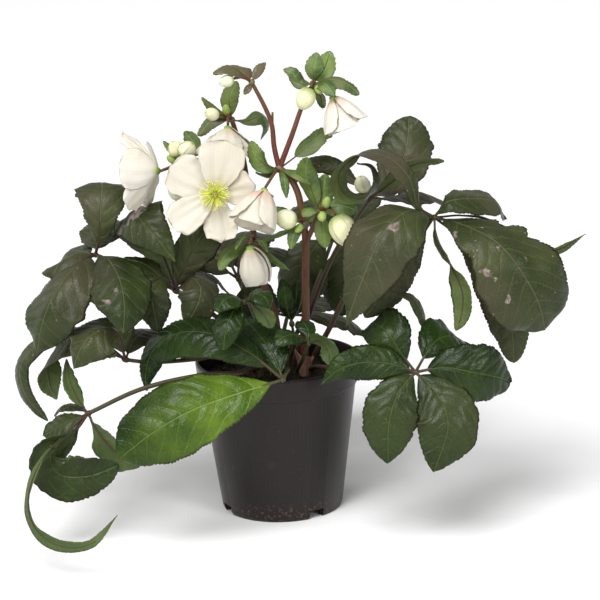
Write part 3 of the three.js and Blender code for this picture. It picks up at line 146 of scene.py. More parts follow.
# %% Leaf tables
LEAVES = {
    "leaf_left_high": dict(foot=(-17, 6), thick=2.2, stalk=[(-32, 130, -12), (-62, 158, -26),
        (-108, 184, -32), (-140, 197, -12), (-150, 201, 8)], leaflets=[
        ([(-147, 215, 18), (-146, 234, 22), (-145, 251, 14), (-145, 259, -4), (-142, 256, -28)],
         21.5, [(0, 0.3, 1), (0, 0.7, 0.8), (0, 1, -0.3)], 12, 0.1, 0.8),
        ([(-163, 203, 20), (-177, 196, 28), (-193, 186, 28)], 15, [(-0.2, 1, 0.1), (-0.3, 1, 0.4)], 34),
        ([(-165, 193, 36), (-181, 173, 52), (-192, 149, 58), (-197, 124, 52)],
         28, [(-0.2, 1, 0.5), (-0.6, 0.5, 0.8), (-0.5, 0.1, 1)], 24, 0.08, 0.62),
        ([(-139, 196, 36), (-130, 178, 58), (-127, 158, 74), (-128, 138, 80)],
         26, [(0.1, 0.9, 0.6), (0.2, 0.5, 0.9), (0.1, 0.2, 1)], 20, 0.08),
        ([(-148, 216, -22), (-144, 228, -50), (-140, 232, -80)], 18, [(0, 1, 0.2), (0, 1, -0.4)], 14),
        ([(-162, 204, -10), (-172, 204, -30), (-178, 192, -50)], 15, [(-0.3, 1, 0), (-0.7, 0.7, -0.2)], 14),
    ]),
    "leaf_left_inner": dict(foot=(-12, -5), thick=2.2, stalk=[(-22, 134, 10), (-44, 152, 14), (-86, 172, 5)],
        leaflets=[
        ([(-95, 199, -12), (-110, 222, -15), (-120, 237, 1), (-111, 225, 22), (-100, 213, 31),
         (-86, 195, 35)],
         24, [(0.4, 0.4, -1), (-0.2, 1, -0.4), (-0.3, 0.6, 1), (-0.2, 0.3, 1)], 14, 0.06, 0.46),
        ([(-78, 194, 14), (-67, 213, 18), (-58, 226, 8), (-50, 232, -12)],
         17, [(0, 0.3, 1), (0.1, 0.6, 0.9), (0.2, 1, 0.1)], 12, 0.06),
        ([(-73, 182, 18), (-66, 174, 28), (-69, 160, 34), (-79, 144, 34)],
         18, [(0.3, 1, 0.3), (0.4, 0.5, 0.9), (-0.2, 0.1, 1)], 18, 0.08),
        ([(-97, 181, 14), (-105, 173, 24), (-103, 156, 30), (-100, 139, 32)],
         14.5, [(-0.3, 1, 0.4), (-0.3, 0.4, 1), (0.1, 0.2, 1)], 14),
        ([(-96, 181, 10), (-110, 193, 10), (-128, 198, 6)], 14, [(0.2, 1, 0.4), (-0.2, 1, 0.4)], 14),
        ([(-70, 183, -8), (-55, 184, -24), (-44, 170, -34)], 13, [(0.1, 1, 0.1), (0.7, 0.7, -0.2)], 14),
        ([(-84, 186, -22), (-80, 200, -46), (-76, 205, -76)], 18, [(0, 1, 0.2), (0, 1, -0.4)], 14),
    ]),
    "leaf_left_low": dict(foot=(-21, -7), thick=2.1, stalk=[(-42, 122, 22), (-66, 118, 32), (-106, 115, 38),
        (-126, 117, 40)], leaflets=[
        ([(-133, 138, 50), (-147, 140, 61), (-160, 129, 71), (-168, 110, 71)],
         24, [(0.1, 0.5, 0.9), (-0.2, 0.9, 0.6), (-0.5, 0.3, 1)], 20, 0.08, 0.5),
        ([(-140, 124, 30), (-153, 123, 18), (-166, 116, 6)], 15, [(0, 1, -0.5), (-0.2, 0.8, -0.7)], 10),
        ([(-150, 134, 34), (-173, 131, 30), (-188, 117, 26), (-187, 98, 22), (-181, 85, 18)],
         15, [(-0.1, 1, 0.4), (-0.8, 0.6, 0.3), (-0.2, 0.2, -1)], 12, 0.1, 0.52),
        ([(-158, 138, 18), (-190, 133, 4), (-210, 113, 4), (-207, 90, 8), (-188, 68, 10)],
         10, [(-0.2, 1, 0.2), (-0.9, 0.4, 0.4), (-0.5, 0.1, 1)], 12, 0.18),
        ([(-120, 132, 26), (-112, 140, 10), (-106, 142, -8)], 13, [(0.2, 1, 0.2), (0.3, 1, -0.3)], 14),
    ]),
    "leaf_left_front": dict(foot=(-18, -16), thick=2.3, stalk=[(-26, 110, 48), (-38, 106, 62),
        (-62, 105, 64), (-112, 94, 62), (-156, 74, 62)], leaflets=[
        ([(-166, 88, 54), (-172, 102, 44), (-173, 118, 34)], 8, [(-0.6, 0.3, -0.8)], 10, 0.12, 0.5),
        ([(-166, 80, 48), (-177, 80, 40), (-182, 72, 30)], 8, [(-0.1, 1, 0.1), (-0.8, 0.5, -0.4)], 14),
        ([(-168, 69, 64), (-181, 63, 64), (-192, 56, 60)], 13, [(-0.1, 1, 0.5), (-0.4, 0.6, 0.8)], 14),
        ([(-176, 56, 82), (-193, 36, 98), (-203, 7, 112), (-198, -17, 132), (-179, -31, 148),
         (-154, -30, 156), (-132.5, -7, 150)],
         6.4, [(0.2, 0.8, -0.5), (0.8, 0.3, -0.6), (1, -0.2, -0.4), (0.3, 0.9, -0.5)], 16, 0.05, 0.5),
        ([(-149, 62, 70), (-138, 48, 76), (-124, 37, 78), (-115, 31, 76)],
         17, [(0.4, 0.7, -0.6), (0.2, 0.3, -1)], 10, 0.08),
        ([(-168, 57, 76), (-186, 41, 84), (-180, 26, 86), (-156, 24, 86), (-131, 33, 82)],
         19, [(0, -0.8, 0.5), (0.2, -0.1, 1), (0, 0, 1)], -10, 0.12, 0.6),
    ]),
    "leaf_front": dict(foot=(4, -24), thick=2.2, stalk=[(4, 109, 52), (2, 106, 70), (0, 101, 80)], leaflets=[
        ([(-36, 90, 96), (-74, 76, 108), (-105, 58, 110), (-131, 38, 104)],
         29, [(0, 0.7, 0.7), (-0.1, 0.4, 1), (-0.4, 0.1, 1)], 10, 0.07, 0.66),
        ([(-26, 122, 76), (-58, 138, 68), (-88, 137, 56), (-106, 121, 48), (-110, 104, 50), (-110, 92, 52)],
         21, [(-0.3, 1, 0.5), (-0.3, 0.9, 0.6), (-0.7, 0.4, 0.7)], 18, 0.1, 0.46),
        ([(-8, 121, 70), (-20, 138, 54), (-31, 150, 36)],
         18, [(-0.3, 0.5, 0.8), (-0.2, 0.9, 0.5)], 14, 0.08),
    ]),
    "leaf_right_low": dict(foot=(26, -18), thick=2.1, stalk=[(42, 110, 56), (72, 107, 78), (106, 107, 92)],
        leaflets=[
        ([(90, 113, 94), (66, 115, 100), (46, 110, 102), (30, 97, 98)],
         14, [(0, 0.5, 0.9), (-0.2, 0.3, 1), (-0.4, 0.1, 1)], 10, 0.06, 0.42),
        ([(94, 123, 88), (85, 137, 84), (75, 145, 74), (64, 141, 60)],
         19, [(-0.2, 0.4, 1), (-0.3, 0.6, 0.9), (-0.5, 1, 0.2)], 10, 0.16),
        ([(114, 121, 90), (122, 132, 84), (134, 136, 72), (149, 128, 54)],
         20, [(0.1, 0.4, 1), (0.2, 0.7, 0.9), (0.5, 1, 0.1)], 10, 0.16, 0.6),
        ([(130, 111, 96), (152, 107, 100), (171, 103, 92), (182, 99, 76)],
         23, [(0, 0.5, 1), (0.1, 0.2, 1), (0.5, 0.1, 1), (1, 0.1, 0.4)], 10),
        ([(93, 92, 104), (85, 68, 114), (84, 34, 114)], 22, [(-0.2, 0.4, 1), (0, 0.1, 1)], 8, 0.04, 0.5),
        ([(123, 90, 104), (132, 66, 116), (121, 27, 118)], 25, [(0.2, 0.4, 1), (0, 0.1, 1)], 8, 0.04, 0.5),
    ]),
    "leaf_right_high": dict(foot=(28, 8), thick=2.4, stalk=[(36, 140, -4), (60, 185, 5), (96, 222, 28),
        (121, 231, 45)], leaflets=[
        ([(100, 236, 66), (80, 218, 84), (64, 183, 92), (50, 144, 88)],
         30, [(-0.1, 1, 0.4), (-0.3, 0.5, 0.9), (-0.4, 0.2, 1)], 18, 0.06, 0.4),
        ([(106, 212, 48), (93, 190, 56), (79, 168, 58), (65, 151, 56)],
         15, [(-0.2, 0.7, 0.7), (-0.1, 0.1, 1)], 14, 0.1, 0.6),
        ([(108, 211, 52), (94, 191, 60), (84, 174, 67), (92, 170, 71), (103, 167, 71), (111, 155, 69),
         (115, 137, 64)],
         6, [(-0.2, 0.7, 0.7), (-0.1, 0.9, 0.6), (0.3, 0.8, 0.6), (0.8, 0.3, 0.6)], 20, 0.6, 0.5),
        ([(123, 214, 54), (135, 193, 62), (144, 171, 70), (143, 153, 73), (138, 140, 76)],
         10, [(0.4, 0.8, 0.4), (0.9, 0.2, 0.35), (0.6, 0, -0.9), (0.2, 0.3, -1)], 14, 0.08, 0.6),
        ([(147, 224, 62), (172, 210, 78), (191, 187, 86), (205, 161, 84), (210, 141, 72)],
         36, [(0.1, 1, 0.4), (0.3, 0.6, 0.9), (0.2, 0.1, 1)], 12, 0.05, 0.74),
        ([(152, 206, 40), (172, 172, 48), (183, 140, 50), (185, 114, 46)],
         17, [(0.2, 0.8, 0.6), (0.2, 0.2, 1), (0, 0.1, 1)], 12, 0.1, 0.66),
        ([(157, 232, 30), (188, 216, 20), (216, 205, 20), (242, 218, 28)],
         9, [(0.1, 1, 0.1), (-0.1, 1, -0.5), (-0.3, 0.7, -0.8)], 10, 0.14, 0.5),
        ([(131, 243, 54), (152, 246, 44), (171, 243, 28), (178, 229, 12)],
         16, [(0, 0.9, 0.6), (0.3, 0.9, 0.4), (1, 0.2, -0.1)], 12, 0.04, 0.5),
        ([(108, 240, 54), (101, 262, 58), (82, 280, 58), (60, 281, 56), (44, 266, 54), (48, 249, 52),
         (63, 245, 50), (75, 256, 48), (71, 271, 46), (59, 274, 44)],
         15, [(0.3, 0.3, 0.8), (0.6, 0.3, 0.8), (0.6, 0.5, 0.6), (0.1, 1, 0.2), (-0.5, 0.85, -0.3),
         (-1, 0, -0.6), (-0.1, -1, -0.1), (1, 0, 0.6), (0, 1, 0.1)], 4, 0.06, 0.5),
    ]),
    "leaf_right_top": dict(foot=(14, 12), thick=2.2, stalk=[(20, 150, -16), (40, 200, -6), (60, 232, 6),
        (70, 246, 18)], leaflets=[
        ([(87, 262, 12), (98, 284, 4), (101, 312, -14)], 22, [(0, 0.3, 1), (0, 0.5, 1)], 8, 0.1, 0.62),
        ([(86, 259, 26), (106, 274, 30), (129, 276, 30)], 10, [(0, 0.6, -0.8), (0, 0.8, -0.6)], 8),
        ([(54, 262, 4), (34, 274, -6), (16, 271, -10), (8, 256, -8)],
         8, [(-0.2, 1, 0.2), (-0.8, 0.6, 0.3), (-1, 0, 0.5)], 12, 0.16),
        ([(76, 252, -10), (84, 258, -40), (90, 253, -70)], 18, [(0, 1, 0.2), (0.2, 1, -0.5)], 14),
        ([(90, 247, 0), (112, 250, -22), (130, 243, -46)], 15, [(0.1, 1, 0), (0.6, 0.8, -0.3)], 14),
    ]),
    "leaf_back_left": dict(foot=(-12, 18), thick=2.1, stalk=[(-18, 140, -24), (-28, 164, -44),
        (-36, 182, -58)], leaflets=[
        ([(-60, 196, -62), (-80, 192, -70), (-94, 178, -76)], 20, [(-0.2, 1, 0.1), (-0.8, 0.7, 0.1)], 16),
        ([(-50, 210, -80), (-62, 222, -110), (-70, 214, -140)], 24, [(-0.1, 1, 0.2), (-0.3, 0.8, -0.6)], 16),
        ([(-34, 210, -88), (-28, 220, -120), (-22, 212, -150)], 24, [(0, 1, 0.2), (0, 0.8, -0.6)], 16),
        ([(-18, 201, -78), (-1, 206, -104), (12, 194, -122)], 21, [(0.1, 1, 0.2), (0.4, 0.8, -0.4)], 16),
        ([(-28, 178, -48), (-20, 162, -50), (-16, 140, -50)], 18, [(0.1, 0.7, 0.7), (0.1, 0.2, 1)], 16),
    ]),
    "leaf_back_right": dict(foot=(8, 22), thick=2.1, stalk=[(20, 158, -34), (32, 192, -52), (40, 214, -66)],
        leaflets=[
        ([(60, 222, -80), (84, 222, -100), (100, 206, -112)], 22, [(0.1, 1, 0.2), (0.6, 0.8, -0.2)], 16),
        ([(50, 236, -90), (58, 250, -124), (64, 244, -156)], 24, [(0, 1, 0.2), (0, 0.8, -0.6)], 16),
        ([(32, 232, -88), (20, 244, -118), (10, 238, -148)], 23, [(-0.1, 1, 0.2), (-0.4, 0.8, -0.5)], 16),
        ([(48, 203, -58), (51, 180, -60), (47, 152, -58)], 24, [(0.2, 0.8, 0.6), (0.1, 0.2, 1)], 16),
        ([(27, 209, -54), (18, 196, -54), (11, 176, -56), (6, 152, -56)],
         23, [(-0.2, 0.8, 0.6), (-0.3, 0.2, 1)], 16),
    ]),
    "leaf_back_low": dict(foot=(-2, 27), thick=2.1, stalk=[(0, 138, -50), (3, 150, -72), (4, 152, -92)],
        leaflets=[
        ([(-20, 156, -104), (-46, 150, -118), (-66, 132, -126)],
         22, [(-0.2, 1, 0.1), (-0.7, 0.7, -0.3)], 16),
        ([(-10, 162, -124), (-22, 168, -158), (-32, 156, -190)],
         24, [(-0.1, 1, 0.2), (-0.2, 0.8, -0.6)], 16),
        ([(16, 162, -124), (26, 168, -158), (34, 156, -190)], 24, [(0, 1, 0.2), (0.1, 0.8, -0.6)], 16),
        ([(28, 154, -104), (52, 150, -118), (70, 134, -128)], 22, [(0.1, 1, 0.2), (0.6, 0.7, -0.4)], 16),
    ]),
    "young_leaf_left": dict(foot=(-4, -15), thick=1.6, stalk=[(-6, 132, 22), (-14, 153, 34), (-24, 163, 50),
        (-31, 163, 62)], leaflets=[
        ([(-39, 168, 72), (-47, 165, 80), (-53, 155, 84)], 12, [(-0.1, 1, 0.5), (-0.4, 0.6, 0.8)], 14, 0.08),
        ([(-23, 170, 68), (-15, 167, 74), (-10, 158, 77)], 10, [(0.1, 1, 0.5), (0.5, 0.6, 0.8)], 14, 0.08),
        ([(-38, 158, 74), (-45, 144, 86), (-48, 124, 91)], 12, [(-0.2, 0.8, 0.6), (-0.1, 0.2, 1)], 12, 0.08),
        ([(-22, 160, 66), (-14, 152, 69), (-9, 142, 67)], 9, [(0.3, 0.6, -0.8), (0.2, 0.3, -1)], 10, 0.08),
    ]),
    "young_leaf_right": dict(foot=(15, -25), thick=1.7, stalk=[(16, 118, 40), (20, 130, 52)], leaflets=[
        ([(12, 137, 64), (2, 136, 73), (-6, 128, 78)], 11, [(-0.1, 1, 0.5), (-0.3, 0.6, 0.8)], 12, 0.08),
        ([(30, 133, 60), (37, 125, 66), (38, 112, 70)], 11, [(0.6, 0.6, -0.5), (0.4, 0.2, -0.9)], 10, 0.08),
        ([(20, 140, 46), (16, 147, 38), (12, 148, 30)], 8, [(0, 0.8, 0.5), (0, 1, 0.1)], 12, 0.08),
    ]),
    "young_leaf_centre": dict(foot=(9, 2), thick=1.5, stalk=[(9, 132, 6), (7, 146, 14)], leaflets=[
        ([(3, 160, 20), (1, 172, 20), (-1, 182, 14)], 7, [(-0.2, 0.2, 1), (0, 0.6, 0.8)], 12, 0.08),
        ([(9, 158, 14), (11, 170, 10), (11, 180, 4)], 6, [(0.4, 0.3, 0.8)], 12, 0.08),
    ]),
}
print(len(LEAVES), "leaves,", sum(len(leaf["leaflets"]) for leaf in LEAVES.values()), "leaflets")

# %% [markdown]
# ## The flower stems, bracts, flowers and buds
#
# The stems branch above the leaves. At each fork sits a tuft of small leaves, the bracts, and each branch
# ends in a flower or a bud. Only these few numbers differ from one flower to the next.

# %% Stem, tuft, flower and bud tables
# A papery scale is [height, angle round the stem], a branch [stations, radius at its start, at its end], and
# a small bud [end of its stalk, tip, radius].
STEMS = {
    "flower_stem_right": dict(foot=(21, -5), thick=3.6, tip=2.4, scales=((20, -1.4), (24, -2.7), (17, 0.2)),
        stalk=[(18, 141, 10), (18, 181, 18), (18, 213, 26), (15, 235, 29), (12, 250, 28), (6, 262, 24),
            (-3, 271, 20)],
        branches=[
            ([(-3, 270, 20), (-7, 287, 18), (-9, 305, 16), (-14, 318, 16), (-25, 339, 18)], 2.2, 1.5),
            ([(-3, 270, 20), (2, 283, 20), (8, 299, 18), (15, 319, 14), (24, 338, 12)], 2.2, 1.6),
            ([(18, 210, 26), (24, 223, 31), (30, 237, 35)], 2.2, 1.8),
            ([(-9, 302, 16), (-8.5, 309, 16), (-8.4, 315, 16)], 1.3, 0.8),
            ([(30, 237, 35), (37, 239, 40), (42, 233, 46)], 1.3, 1),
            ([(30, 237, 35), (42, 244, 28), (54, 246, 24), (65, 250, 25)], 1.2, 1),
            ([(24, 338, 12), (32, 336, 16), (39, 329, 21)], 1.3, 1),
            ([(24, 338, 12), (24, 339, 17), (22, 335, 22)], 1.2, 1),
            ([(16, 228, 29), (14, 229, 34), (11, 228, 39)], 1.3, 1),
            ([(-4, 269, 21), (-7, 266, 36), (-14, 255, 50)], 1.3, 1.1),
            ([(-25, 339, 18), (-32, 343, 23), (-39, 342, 27)], 1.2, 1),
        ],
        buds=[((27, 336, 19), (30, 330, 26), 3), ((34, 239, 41), (36, 247, 46), 3.4), ((31, 235, 43),
            (31, 228, 50), 3.6), ((15, 225, 35), (10, 219, 42), 3)]),
    "flower_stem_left": dict(foot=(-2, -3), thick=3.2, tip=1.9, scales=((16, -1.9), (13, -0.4)),
        stalk=[(-5, 145, 8), (-12, 169, 12), (-18, 186, 14), (-22, 209, 12), (-26, 235, 6), (-29, 261, -8),
            (-33, 284, -18), (-41, 309, -14)],
        branches=[
            ([(-41, 309, -13), (-44, 312, -5), (-44, 305, 3)], 1.3, 1.1),
            ([(-30, 268, -12), (-48, 278, -20), (-66, 282, -12), (-80, 277, 8)], 1.9, 1.5),
            ([(-80, 277, 8), (-88, 272, 12), (-98, 268, 17)], 1.4, 1.2),
            ([(-80, 277, 8), (-83, 277, 8), (-83, 279, 10)], 1.2, 1),
            ([(-75, 280, 1), (-81, 278, 14), (-82, 279, 19)], 1.1, 0.9),
            ([(-80, 277, 8), (-83, 268, 7), (-84, 261, 12)], 1.2, 1),
            ([(-26, 240, 5), (-40, 251, 16), (-54, 250, 30)], 1.5, 1.3),
            ([(-22, 212, 13), (-25, 216, 26), (-27, 209, 33)], 1.3, 1.1),
            ([(-41, 309, -13), (-48, 313, -8), (-52, 312, -2)], 1.2, 1),
        ],
        buds=[((-45, 313, -10), (-46, 321, -5), 3.2), ((-85, 275, 9), (-93, 280, 9), 3.2)]),
}
# A bract is [stations, half width, facings, droop, share of bare stalk, where it isn't 0.1].
TUFTS = {
    "bracts_top_left": dict(at=(-25, 339, 18), size=3.4, bracts=[
        ([(-38, 350, 24), (-48, 350, 28), (-56, 346, 32)], 8, [(0, 1, 0.3), (-0.2, 0.9, 0.6)], 22),
        ([(-20, 348, 14), (-14, 355, 8)], 4, [(0.2, 0.5, 0.8)], 12),
        ([(-33, 350, 8), (-43, 352, -4)], 8, [(0, 1, 0.2), (-0.3, 1, -0.2)], 16),
        ([(-28, 334, 22), (-31, 329, 26)], 3, [(-0.3, 0.2, 1)], 10),
    ]),
    "bracts_top_right": dict(at=(24, 338, 12), size=3.6, bracts=[
        ([(25, 350, 15), (27, 363, 12)], 7.5, [(0, 0.2, 1)], 12),
        ([(33, 350, 4), (38, 364, 0)], 9, [(0.3, 0.2, -0.9)], 12),
        ([(40, 341, 16), (52, 337, 20), (61, 329, 20)], 8, [(0.1, 1, 0.4), (0.3, 0.8, 0.6)], 18),
        ([(33, 338, 24), (41, 328, 32)], 7, [(0, 1, 0.4), (0.1, 0.6, 0.8)], 16),
        ([(14, 338, 6), (7, 347, 4), (0, 349, 2)], 5.5, [(0, 0.8, 0.6), (-0.3, 0.3, 1)], 10),
        ([(30, 328, 2), (32, 318, -4)], 6, [(0.4, 0.8, -0.3)], 12),
    ]),
    "bracts_fork": dict(at=(-3, 270, 20), size=4.6, bracts=[
        ([(-12, 272, 28), (-21, 279, 32), (-26, 292, 31)], 8, [(-0.1, 0.9, 0.6), (-0.4, 0.3, 1)], 18),
        ([(9, 279, 12), (21, 289, 6), (33, 298, 2), (40, 296, -2)], 8.5, [(-0.3, 0.6, 0.8)], 14, 0.3),
        ([(-13, 265, 26), (-22, 267, 30)], 4, [(0, 1, 0.4)], 16),
        ([(1, 261, 32), (3, 246, 36)], 3.6, [(0.2, 0.7, 0.8), (0.2, 0.1, 1)], 10),
        ([(12, 266, 30), (22, 257, 36)], 6, [(0.1, 1, 0.3), (0.5, 0.6, 0.7)], 16),
    ]),
    "bracts_right": dict(at=(29, 235, 34), size=3.8, bracts=[
        ([(32, 250, 31), (34, 266, 28)], 9, [(-0.1, 0.2, 1)], 16),
        ([(23, 252, 32), (18, 268, 36), (20, 279, 42)], 9, [(-0.4, 0.1, 0.9), (-0.2, -0.4, 0.9)], 16),
        ([(22, 238, 46), (16, 231, 52)], 7, [(-0.1, 1, 0.4), (-0.3, 0.7, 0.7)], 14),
        ([(46, 240, 36), (60, 236, 34)], 9, [(0, 0.7, 0.8), (0.2, 0.7, 0.7)], 14),
        ([(32, 219, 40), (34, 206, 42)], 7, [(0.1, 0.4, 1), (0, 0.1, 1)], 12),
    ]),
    "bracts_middle": dict(at=(17, 225, 28), size=5.2, bracts=[
        ([(9, 218, 42), (6, 205, 46)], 5, [(-0.1, 0.6, 0.8), (0, 0.1, 1)], 12, 0.14),
        ([(5, 232, 22), (-6, 240, 14)], 6, [(-0.1, 1, 0.2), (-0.4, 0.9, 0.1)], 14, 0.14),
        ([(24, 233, 17), (32, 240, 8)], 7, [(0.1, 1, 0.1), (0.5, 0.9, -0.1)], 14, 0.14),
        ([(4, 222, 22), (-6, 216, 16)], 7, [(-0.1, 1, 0.2), (-0.4, 0.9, 0.1)], 14, 0.14),
    ]),
    "bracts_left_top": dict(at=(-41, 309, -13), size=3.6, bracts=[
        ([(-43, 325, -12), (-37, 340, -10)], 7.5, [(-0.1, 0.1, 1)], 12),
        ([(-55, 317, -12), (-65, 327, -10)], 5, [(0.2, 0.8, 0.6)], 16),
        ([(-57, 308, -14), (-68, 296, -14)], 7, [(-0.2, 1, 0.3), (-0.6, 0.2, 0.8)], 14),
        ([(-29, 308, -18), (-17, 312, -20), (-13, 302, -14), (-18, 293, -10)],
         8, [(0, 1, 0.2), (0.7, 0.6, 0.2), (0.6, -0.6, 0.6)], 14),
    ]),
    "bracts_left_side": dict(at=(-79, 277, 8), size=3.9, bracts=[
        ([(-87, 283, 0), (-96, 292, -3)], 3.6, [(0, 0.8, 0.6)], 12, 0.12),
        ([(-78, 265, 22), (-80, 254, 24)], 5, [(0, 0.8, 0.6), (0, 0.1, 1)], 12, 0.12),
        ([(-72, 290, -2), (-79, 300, -4)], 7, [(0.2, 0.4, 0.9)], 12, 0.12),
        ([(-66, 274, 16), (-61, 268, 18)], 5, [(0, 1, 0.3), (0.2, 0.4, 0.9)], 12, 0.12),
    ]),
    "bracts_over_bell": dict(at=(-22, 211, 13), size=4.6, bracts=[
        ([(-34, 215, 32), (-38, 205, 40)], 4, [(-0.2, 1, 0.3), (-0.5, 0.4, 0.8)], 12, 0.14),
        ([(-17, 212, 31), (-12, 203, 38)], 4, [(0.2, 1, 0.3), (0.4, 0.4, 0.8)], 12, 0.14),
        ([(-9, 216, 24), (3, 220, 28)], 5, [(0, 1, 0.4)], 16, 0.14),
        ([(-9, 199, 22), (5, 189, 30)], 5, [(0, 1, 0.3), (0.1, 1, 0)], 16, 0.3),
        ([(-38, 206, 22), (-47, 199, 28), (-50, 188, 32)], 8, [(-0.1, 1, 0.3), (-0.5, 0.3, 0.8)], 14, 0.14),
    ]),
    "bracts_left_middle": dict(at=(-27, 247, 1), size=5, bracts=[
        ([(-16, 252, -4), (-9, 249, -14)], 8, [(0.1, 1, 0.1), (0.4, 0.9, -0.2)], 14, 0.14),
        ([(-38, 238, 0), (-48, 234, -8)], 8, [(-0.1, 1, 0.1), (-0.4, 0.9, -0.2)], 14, 0.14),
        ([(-28, 256, -8), (-34, 264, -20)], 7, [(0, 1, 0.4), (0, 1, 0)], 14, 0.14),
    ]),
}
# A sepal is [angle round the axis, length, half width, lean off the axis at its base, at its tip].
BLOOMS = {
    "flower_front": dict(base=(-54, 250, 30), axis=(-0.04, 0.1, 1), stamens=11, sepals=[
        (77, 42, 19, 74, 82), (146, 38, 18, 82, 84), (214, 39, 14.5, 76, 84), (278, 34, 13.5, 84, 80),
        (12, 30, 14, 72, 76)]),
    "flower_left": dict(base=(-98, 268, 17), axis=(-0.9, -0.05, -0.42), stamens=9, sepals=[
        (92, 38, 11, 66, 24), (164, 32, 17, 62, 52), (236, 34, 18, 68, 60), (304, 34, 17, 62, 54),
        (16, 34, 17, 68, 56)]),
    "flower_nodding": dict(base=(-44, 305, 3), axis=(-0.1, -1, 0.24), stamens=8, sepals=[
        (20, 31, 15, 64, 34), (92, 29, 14, 66, 36), (164, 31, 15, 64, 34), (236, 29, 14, 66, 36),
        (308, 30, 15, 64, 36)]),
    "flower_turned": dict(base=(-14, 255, 50), axis=(-0.36, -0.85, 0.42), stamens=8, sepals=[
        (60, 33, 14, 54, 0), (132, 32, 14, 56, 4), (204, 33, 14, 54, 0), (276, 32, 14, 56, 4),
        (348, 31, 14, 54, 2)]),
    "flower_top": dict(base=(39, 329, 21), axis=(0.34, -0.9, 0.2), stamens=7, sepals=[
        (80, 28, 12, 46, 8), (152, 27, 12, 50, 12), (224, 28, 12, 46, 10), (296, 27, 12, 52, 16),
        (8, 27, 12, 50, 16)]),
    "flower_closed": dict(base=(-27, 209, 33), axis=(0.16, -1, 0.08), stamens=0, sepals=[
        (30, 31, 10.5, 56, -30), (102, 30, 10.5, 60, -32), (174, 31, 10.5, 56, -30),
        (246, 30, 10.5, 60, -32), (318, 30, 10.5, 58, -31)]),
}
# A bud is [end of its stalk, tip, radius].
BUDS = {
    "bud_top": ((22, 335, 22), (14, 317, 24), 6.8),
    "bud_top_left": ((-39, 342, 27), (-51, 338, 31), 4.4),
    "bud_right": ((42, 233, 46), (54.5, 208, 54), 9.7),
    "bud_centre": ((11, 228, 39), (-6, 231, 45), 7.4),
    "bud_inner": ((65, 250.8, 25.2), (62, 264, 28), 6),
    "bud_pair_left": ((-83, 279, 10), (-88, 292, 9), 6.2),
    "bud_pair_right": ((-81.4, 279.8, 18.4), (-72, 290, 21), 6.8),
    "bud_side": ((-52, 312, -2), (-62, 315, 6), 4.8),
    "bud_left": ((-84, 261, 12), (-85, 244, 17), 7.2),
}
print(len(STEMS), "stems,", len(TUFTS), "tufts,", len(BLOOMS), "flowers,", len(BUDS), "buds")

# %% [markdown]
# ## Ribs
#
# Leaflets, stalks and branches all follow a smooth curve through their stations. A centripetal
# Catmull-Rom spline passes through every station without loops, and reading it by its length spreads
# rows of vertices evenly along it.

# %% A curve through points
class Rib:
    """A smooth curve through points, read by share of its length."""

    def __init__(self, points, per_span=26):
        p = np.array(points, float)
        ends = np.vstack((2 * p[0] - p[1], p, 2 * p[-1] - p[-2]))
        rows = []
        for k in range(len(p) - 1):
            a, b, c, d = ends[k : k + 4]
            g0, g1, g2 = (max(np.linalg.norm(v - w), 1e-6) ** 0.5 for v, w in ((b, a), (c, b), (d, c)))
            m1 = ((b - a) / g0 - (c - a) / (g0 + g1) + (c - b) / g1) * g1
            m2 = ((c - b) / g1 - (d - b) / (g1 + g2) + (d - c) / g2) * g1
            u = np.linspace(0, 1, per_span, endpoint=k == len(p) - 2)[:, None]
            rows.append(b + m1 * u + (3 * c - 3 * b - 2 * m1 - m2) * u**2 + (2 * b - 2 * c + m1 + m2) * u**3)
        self.places = np.vstack(rows)
        steps = np.linalg.norm(np.diff(self.places, axis=0), axis=1)
        run = np.concatenate(([0], np.cumsum(steps)))
        self.length = run[-1]
        self.shares = run / self.length
        self.ways = unit(np.gradient(self.places, run, axis=0))

    def read(self, rows, t):
        return np.stack([np.interp(t, self.shares, rows[:, i]) for i in range(3)], axis=-1)

    def place(self, t):
        return self.read(self.places, t)

    def way(self, t):
        return unit(self.read(self.ways, t))


print("a rib of", round(Rib([(0, 0, 0), (10, 0, 5), (20, 0, 0)]).length, 1), "mm")

# %% [markdown]
# ## Bent grids
#
# A leaf blade could be cut from a plane or sculpted, but a grid is best: its columns run from edge to
# edge and its rows from base to tip, so any point is known by `s`, across from -1 to 1, and `t`, along
# from 0 to 1. `bend` moves the grid's vertices to where a formula puts them, gives them a UV map in
# millimetres and marks for the materials. `blade` bends a second grid a little below the first, so that
# the two close into a thin solid; a Solidify modifier would throw spikes where the sheet folds sharply.

# %% Grid tools
WELD = 1e-7  # metres: vertices that are closer are the same
UPPER, UNDER, STALK = 0, 1, 2  # the materials of a leaf or a tuft of bracts


def new_mesh():
    """An empty mesh with the UV map and the marks that the materials read."""
    bm = bmesh.new()
    bm.loops.layers.uv.new("blade")
    bm.verts.layers.float.new("vein")  # distance across the pattern of the veins
    bm.verts.layers.float_color.new("mark")  # tone, share along, how near the edge, wear
    return bm


def stack(*columns):
    """Arrays side by side, a row for each vertex. A single number fills its column."""
    return np.stack(np.broadcast_arrays(*columns), axis=1)


